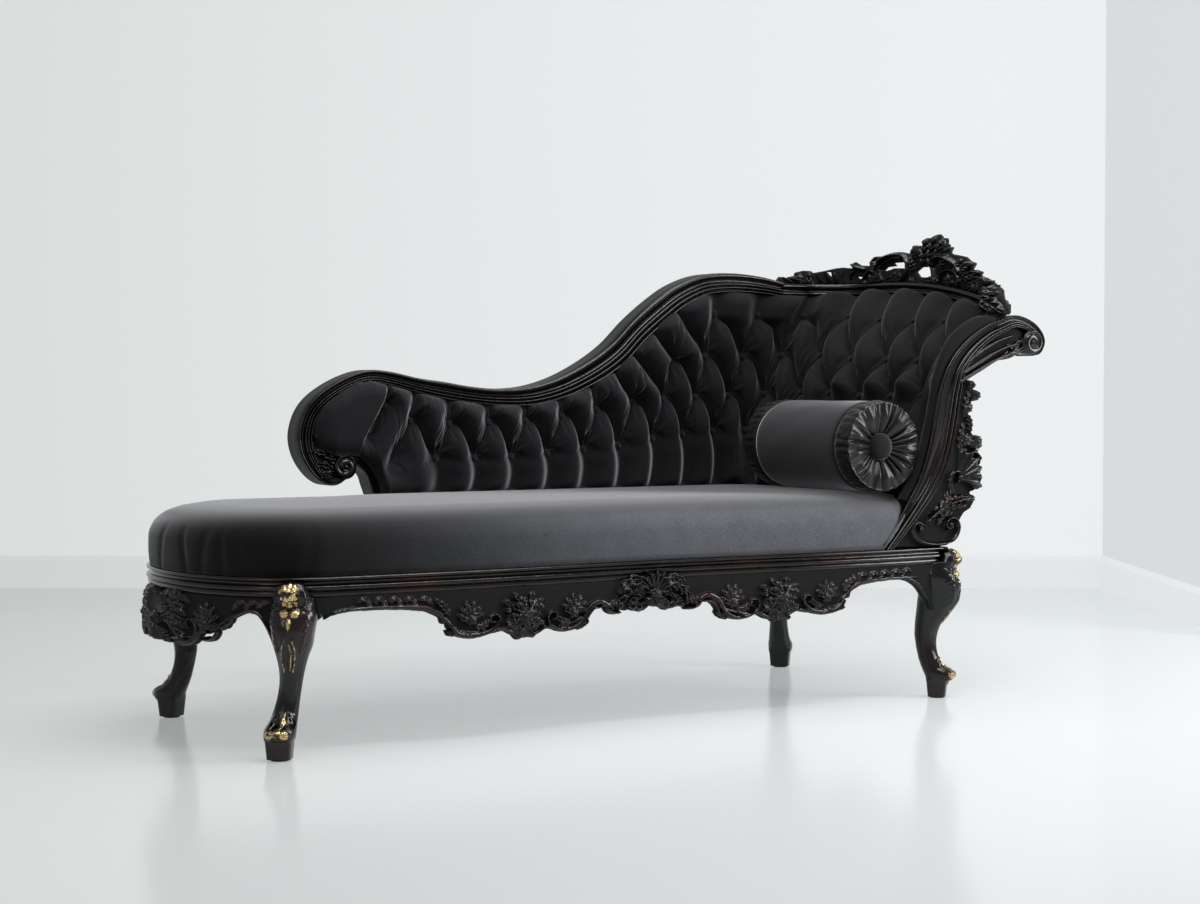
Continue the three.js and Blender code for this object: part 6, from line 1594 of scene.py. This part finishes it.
def carveCrest():
    c = crest
    field = newField(c["start"] - 4, c["start"] + c["length"] * 1.03, -38, c["tall"] * 1.04, c["step"])

    def flat(shares):
        return np.array([(c["start"] + x * c["length"], z * c["tall"]) for x, z in shares])
    carveBoard(field, flat(c["outline"]), 0)
    for width, tip, rise, line in c["straps"]:
        path = flat(line)
        if width > 0.09 and len(line) < 5:
            carveLeaf(field, path, width * c["tall"] * 1.6, rise * 19, 4)
        else:
            carveStrap(field, path, width * c["tall"] * 1.3, tip * c["tall"], rise * 18, 1)
    for x, z, r, rise in c["roses"]:
        (cx, cz), = flat([(x, z)])
        carveRose(field, cx, cz, r * c["tall"] * 1.15, rise * 19, 5, 0.7 * x)
    # more leaves between the straps, on the peak and down the end, which laps over the rail
    for x, z, x1, z1, width in (
            (0.56, 0.3, 0.545, 0.66, 18), (0.64, 0.3, 0.69, 0.6, 20), (0.72, 0.3, 0.76, 0.56, 20),
            (0.5, 0.2, 0.5, 0.5, 18), (0.82, 0.02, 0.88, 0.24, 20), (0.31, 0.28, 0.29, 0.44, 14),
            (0.08, 0.02, 0.03, 0.12, 16), (0.86, 0.0, 0.97, 0.12, 24), (0.9, 0.02, 1.015, -0.26, 34),
            (0.88, -0.06, 0.97, -0.26, 22), (0.88, 0.1, 0.94, 0.22, 20), (0.36, 0.02, 0.44, 0.06, 18),
            (0.56, 0.02, 0.64, 0.06, 18)):
        a, b = flat([(x, z), (x1, z1)])
        carveLeaf(field, [a, (a + b) / 2 + (4, 3), b], width, 16, 4)
    carveRose(field, c["start"] + 0.83 * c["length"], 14, 13, 17, 5)
    for hole in c["holes"]:
        loop = flat(hole)
        inner = blankField(field["u"], field["v"])
        carveBoard(inner, loop, 0)
        pierced = (inner["inside"] > 0) & (field["height"] < 5)
        near = np.where(field["height"] < 5, -inner["inside"], 99)
        field["inside"] = np.where(pierced, -inner["inside"], np.where(
            inner["inside"] > 0, field["inside"], np.minimum(field["inside"], near)))
    field["inside"] = np.where((field["v"] < 0) & (field["u"] < c["start"] + 0.9 * c["length"]), -1, field["inside"])

    def place(u, v, h):
        base = headTop(u)
        lap = c["lap"] * smoothStep(u, *c["lapFrom"]) * (1 - smoothStep(v, 0, c["lapHeight"]))
        x, y = wallPlan(u, base, c["board"] + h + lap)[:, :2].T
        return toModel(x, y, base + c["rail"] + v)
    piece = cutSheet("crest_carving_pierced", field, place, c["back"], 2.5, 0.6)
    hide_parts("crest_carving")


carveCrest()
print("crest carved")

# carved bracket behind the post

bracket = {
    "front": -323, "back": -33, "step": 1.4,
    "outline": [
        (650, 346), (690, 384), (749, 440), (790, 490), (812, 530), (828, 580), (838, 630), (850, 690), (866, 722),
        (892, 726), (885, 708), (908, 698), (907, 684), (890, 676), (885, 659), (868, 647), (880, 640), (880, 618),
        (895, 600), (913, 588), (919, 564), (910, 556), (914, 541), (918, 520), (909, 495), (894, 478), (886, 466),
        (901, 461), (897, 444), (887, 429), (868, 420), (856, 405), (850, 382), (835, 360), (808, 346)],
}


def carveBracket():
    b = bracket
    field = newField(645, 908, 344, 728, b["step"])
    carveBoard(field, np.array(b["outline"], float), 0)
    punchGround(field, field["inside"] > 3, 0.4, 1.9)

    def strap(path, width, tip, rise, reeds=1):
        carveStrap(field, path, width, tip, rise, reeds)

    def leaf(path, width, rise, lobes=4):
        carveLeaf(field, path, width, rise, lobes)
    # wide C scroll at the foot, an eye at either end
    strap([(738, 398), (722, 404), (712, 390), (722, 368), (750, 356), (790, 353), (828, 360), (844, 384), (840, 404),
           (824, 412), (808, 402), (812, 388), (824, 390)], 13, 8, 15, 1)
    carveBead(field, 820, 396, 8, 16)
    carveBead(field, 734, 388, 7, 12)
    # long acanthus leaf over it, ending in a curl
    leaf([(748, 404), (780, 424), (826, 436), (872, 440)], 22, 15, 7)
    leaf([(770, 418), (806, 444), (850, 456), (892, 450)], 26, 18, 7)
    strap([(756, 414), (800, 440), (850, 452), (884, 456)], 5, 4, 21, 0)
    leaf([(786, 396), (800, 416), (830, 424)], 16, 12, 4)
    # ribbed shell in the middle with its scroll
    carveShell(field, 846, 500, 72, 0.55, 2.0, 6, 17)
    strap([(826, 470), (818, 492), (826, 514), (842, 516), (850, 502), (840, 494)], 11, 7, 16, 1)
    strap([(862, 556), (890, 560), (908, 544), (912, 518), (902, 492), (884, 474)], 11, 7, 15, 1)
    leaf([(806, 450), (822, 470), (834, 478)], 18, 12, 4)
    carveBead(field, 844, 504, 8, 18)
    # roses and leaves up the post
    carveRose(field, 896, 582, 20, 18, 5, 0.3)
    carveRose(field, 868, 588, 15, 15, 5, 0.9)
    leaf([(852, 560), (848, 590), (858, 628)], 18, 14, 4)
    leaf([(880, 606), (876, 630), (868, 650)], 20, 15, 4)
    carveRose(field, 872, 660, 14, 15, 5, 0.5)
    leaf([(862, 640), (866, 676), (880, 712)], 16, 13, 5)
    carveRose(field, 895, 690, 14, 17, 5, 1.2)
    carveRose(field, 884, 714, 11, 14, 5, 0.2)

    def place(u, v, h):
        return toModel(u, b["front"] - h, v)
    piece = cutSheet("carved_bracket", field, place, b["back"], 3, 0.6)
    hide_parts("head_bracket")


carveBracket()
print("bracket carved")

# finishes of the CAD nodes that show


def nodeFinish(name):
    if name.startswith("glide"):
        return felt
    if name in ("outside_back_panel", "outside_head_panel", "dust_cover", "back_base_rail", "head_base_rail"):
        return blackLining
    if name in ("seat_hessian", "seat_webbing"):
        return jute
    if name.startswith(("corner_block", "seat_slat", "back_stile")):
        return beech
    return ebonised


for name, node in nodes.items():
    if node.type == "MESH":
        for holder in node.material_slots:
            holder.material = nodeFinish(name)
print("frame finished")

# stage, light and camera

stage = {
    "camera": (-2.2896, -4.0023, 0.702), "azimuth": -30.702, "pitch": 1.697, "lens": 62.53,
    # depth of the wall, side wall to the right of the camera and where it ends, heights and skirting
    "wall": 7.39, "side": 1.785, "near": 5.9, "height": 3.0, "skirting": 0.099, "proud": 0.016,
}


def roomMaterial(name, left, right, span, share, rough, level):
    # painted room: seen by camera, glossy and transmission rays as a glow of its tone, which is painted lighter
    # towards the right as light, and lit as plain paint where it only throws light back
    material, tree = newMaterial(name)
    place = addNode(tree, "ShaderNodeTexCoord").outputs["Object"]
    azimuth = math.radians(stage["azimuth"])
    lateral = addNode(tree, "ShaderNodeVectorMath", {0: place, 1: (math.cos(azimuth), math.sin(azimuth), 0)},
                      operation="DOT_PRODUCT")
    along = addNode(tree, "ShaderNodeMapRange", {0: lateral.outputs[1], 1: span[0], 2: span[1], 3: 0, 4: 1})
    tone = addNode(tree, "ShaderNodeMix", {0: along.outputs[0], 6: hexColour(left), 7: hexColour(right)},
                   data_type="RGBA")
    path = addNode(tree, "ShaderNodeLightPath")
    seen = addNode(tree, "ShaderNodeMath", {0: path.outputs["Is Camera Ray"], 1: path.outputs["Is Glossy Ray"]},
                   operation="MAXIMUM")
    seen = addNode(tree, "ShaderNodeMath", {0: seen.outputs[0], 1: path.outputs["Is Transmission Ray"]},
                   operation="MAXIMUM")
    part = addNode(tree, "ShaderNodeMath", {0: seen.outputs[0], 1: share}, operation="MULTIPLY")
    paint = addNode(tree, "ShaderNodeBsdfPrincipled", {
        "Base Color": tone.outputs[2], "Roughness": rough, "Specular IOR Level": level})
    plain = addNode(tree, "ShaderNodeEmission", {"Color": tone.outputs[2], "Strength": 1.0})
    both = addNode(tree, "ShaderNodeMixShader", {0: part.outputs[0], 1: paint.outputs[0], 2: plain.outputs[0]})
    # one-sided, so that views from behind look into the room
    reverse = addNode(tree, "ShaderNodeNewGeometry").outputs["Backfacing"]
    hidden = addNode(tree, "ShaderNodeMath", {0: reverse, 1: path.outputs["Is Camera Ray"]}, operation="MULTIPLY")
    clear = addNode(tree, "ShaderNodeBsdfTransparent")
    sided = addNode(tree, "ShaderNodeMixShader", {0: hidden.outputs[0], 1: both.outputs[0], 2: clear.outputs[0]})
    addNode(tree, "ShaderNodeOutputMaterial", {"Surface": sided.outputs[0]})
    return material


def makeStage():
    camera = Vector(stage["camera"]) + Vector((shiftX, 0, 0))
    azimuth = math.radians(stage["azimuth"])
    forward = Vector((-math.sin(azimuth), math.cos(azimuth), 0))
    right = Vector((math.cos(azimuth), math.sin(azimuth), 0))

    def spot(lateral, depth, up):
        place = camera + forward * depth + right * lateral
        return (place.x, place.y, up)

    def room(name, corners, faces, material):
        mesh = bpy.data.meshes.new(name)
        mesh.from_pydata([spot(*corner) for corner in corners], [], faces)
        mesh.materials.append(material)
        piece = bpy.data.objects.new(name, mesh)
        bpy.context.scene.collection.objects.link(piece)
    wall, side, near, high, low, proud = [
        stage[key] for key in ("wall", "side", "near", "height", "skirting", "proud")]
    middle = right.dot(camera)
    floor = roomMaterial("paintedFloor", "#cacdcb", "#e4e8ea", (middle - 2, middle + 1.6), 0.42, 0.16, 0.35)
    plaster = roomMaterial("paintedWall", "#dbdfde", "#eef1f2", (middle - 2.3, middle + 1.4), 0.92, 0.9, 0.2)
    sidePlaster = roomMaterial("paintedSideWall", "#d9dbdd", "#dcdee0", (middle, middle + 2), 0.92, 0.9, 0.2)
    board = roomMaterial("paintedSkirting", "#d6dad9", "#ebeeef", (middle - 2.3, middle + 1.4), 0.75, 0.5, 0.3)
    room("room_floor", [(-9, -3, 0), (9, -3, 0), (9, wall + 7, 0), (-9, wall + 7, 0)], [(0, 1, 2, 3)], floor)
    room("room_wall", [(-7, wall, 0), (side, wall, 0), (side, wall, high), (-7, wall, high)], [(0, 1, 2, 3)], plaster)
    room("room_side_wall", [(side, wall, 0), (side, near, 0), (side, near, high), (side, wall, high)], [(0, 1, 2, 3)],
         sidePlaster)
    face, edge = wall - proud, side - proud
    room("room_skirting", [
        (-7, face, 0), (edge, face, 0), (edge, near, 0), (-7, face, low), (edge, face, low), (edge, near, low),
        (-7, wall, low + proud), (side, wall, low + proud), (side, near, low + proud)],
        [(0, 1, 4, 3), (1, 2, 5, 4), (3, 4, 7, 6), (4, 5, 8, 7)], board)

    lens = bpy.data.cameras.new("camera")
    lens.sensor_width = 36
    lens.lens = stage["lens"]
    lens.clip_end = 60
    viewer = bpy.data.objects.new("camera", lens)
    pitch = math.radians(stage["pitch"])
    look = Vector((forward.x * math.cos(pitch), forward.y * math.cos(pitch), -math.sin(pitch)))
    viewer.matrix_world = Matrix.Translation(camera) @ look.to_track_quat("-Z", "Y").to_matrix().to_4x4()
    bpy.context.scene.collection.objects.link(viewer)
    bpy.context.scene.camera = viewer

    def softbox(name, place, target, size, power):
        light = bpy.data.lights.new(name, "AREA")
        light.shape = "RECTANGLE"
        light.size, light.size_y = size
        light.energy = power
        lamp = bpy.data.objects.new(name, light)
        lamp.location = place
        aim = Vector(target) - Vector(place)
        lamp.rotation_euler = aim.to_track_quat("-Z", "Y").to_euler()
        bpy.context.scene.collection.objects.link(lamp)

    softbox("overhead", (0.4, -0.3, 3.2), (0.1, -0.1, 0.3), (3.0, 2.0), 62)
    softbox("ceilingStrip", (0.0, -1.5, 2.9), (0.1, 0, 0.6), (3.2, 0.45), 46)
    softbox("windowRight", (2.7, -2.0, 1.5), (0.3, -0.2, 0.5), (1.1, 1.7), 64)
    softbox("windowLeft", (-3.4, -1.4, 2.0), (-0.3, 0, 0.4), (0.7, 1.4), 8)
    world = bpy.data.worlds.new("studio")
    world.use_nodes = True
    world.node_tree.nodes.clear()
    sky = addNode(world.node_tree, "ShaderNodeBackground", {"Color": hexColour("#e6e7e8"), "Strength": 0.45})
    addNode(world.node_tree, "ShaderNodeOutputWorld", {"Surface": sky.outputs[0]})
    bpy.context.scene.world = world
    bpy.context.scene.view_settings.view_transform = "Standard"


makeStage()
print("stage made")
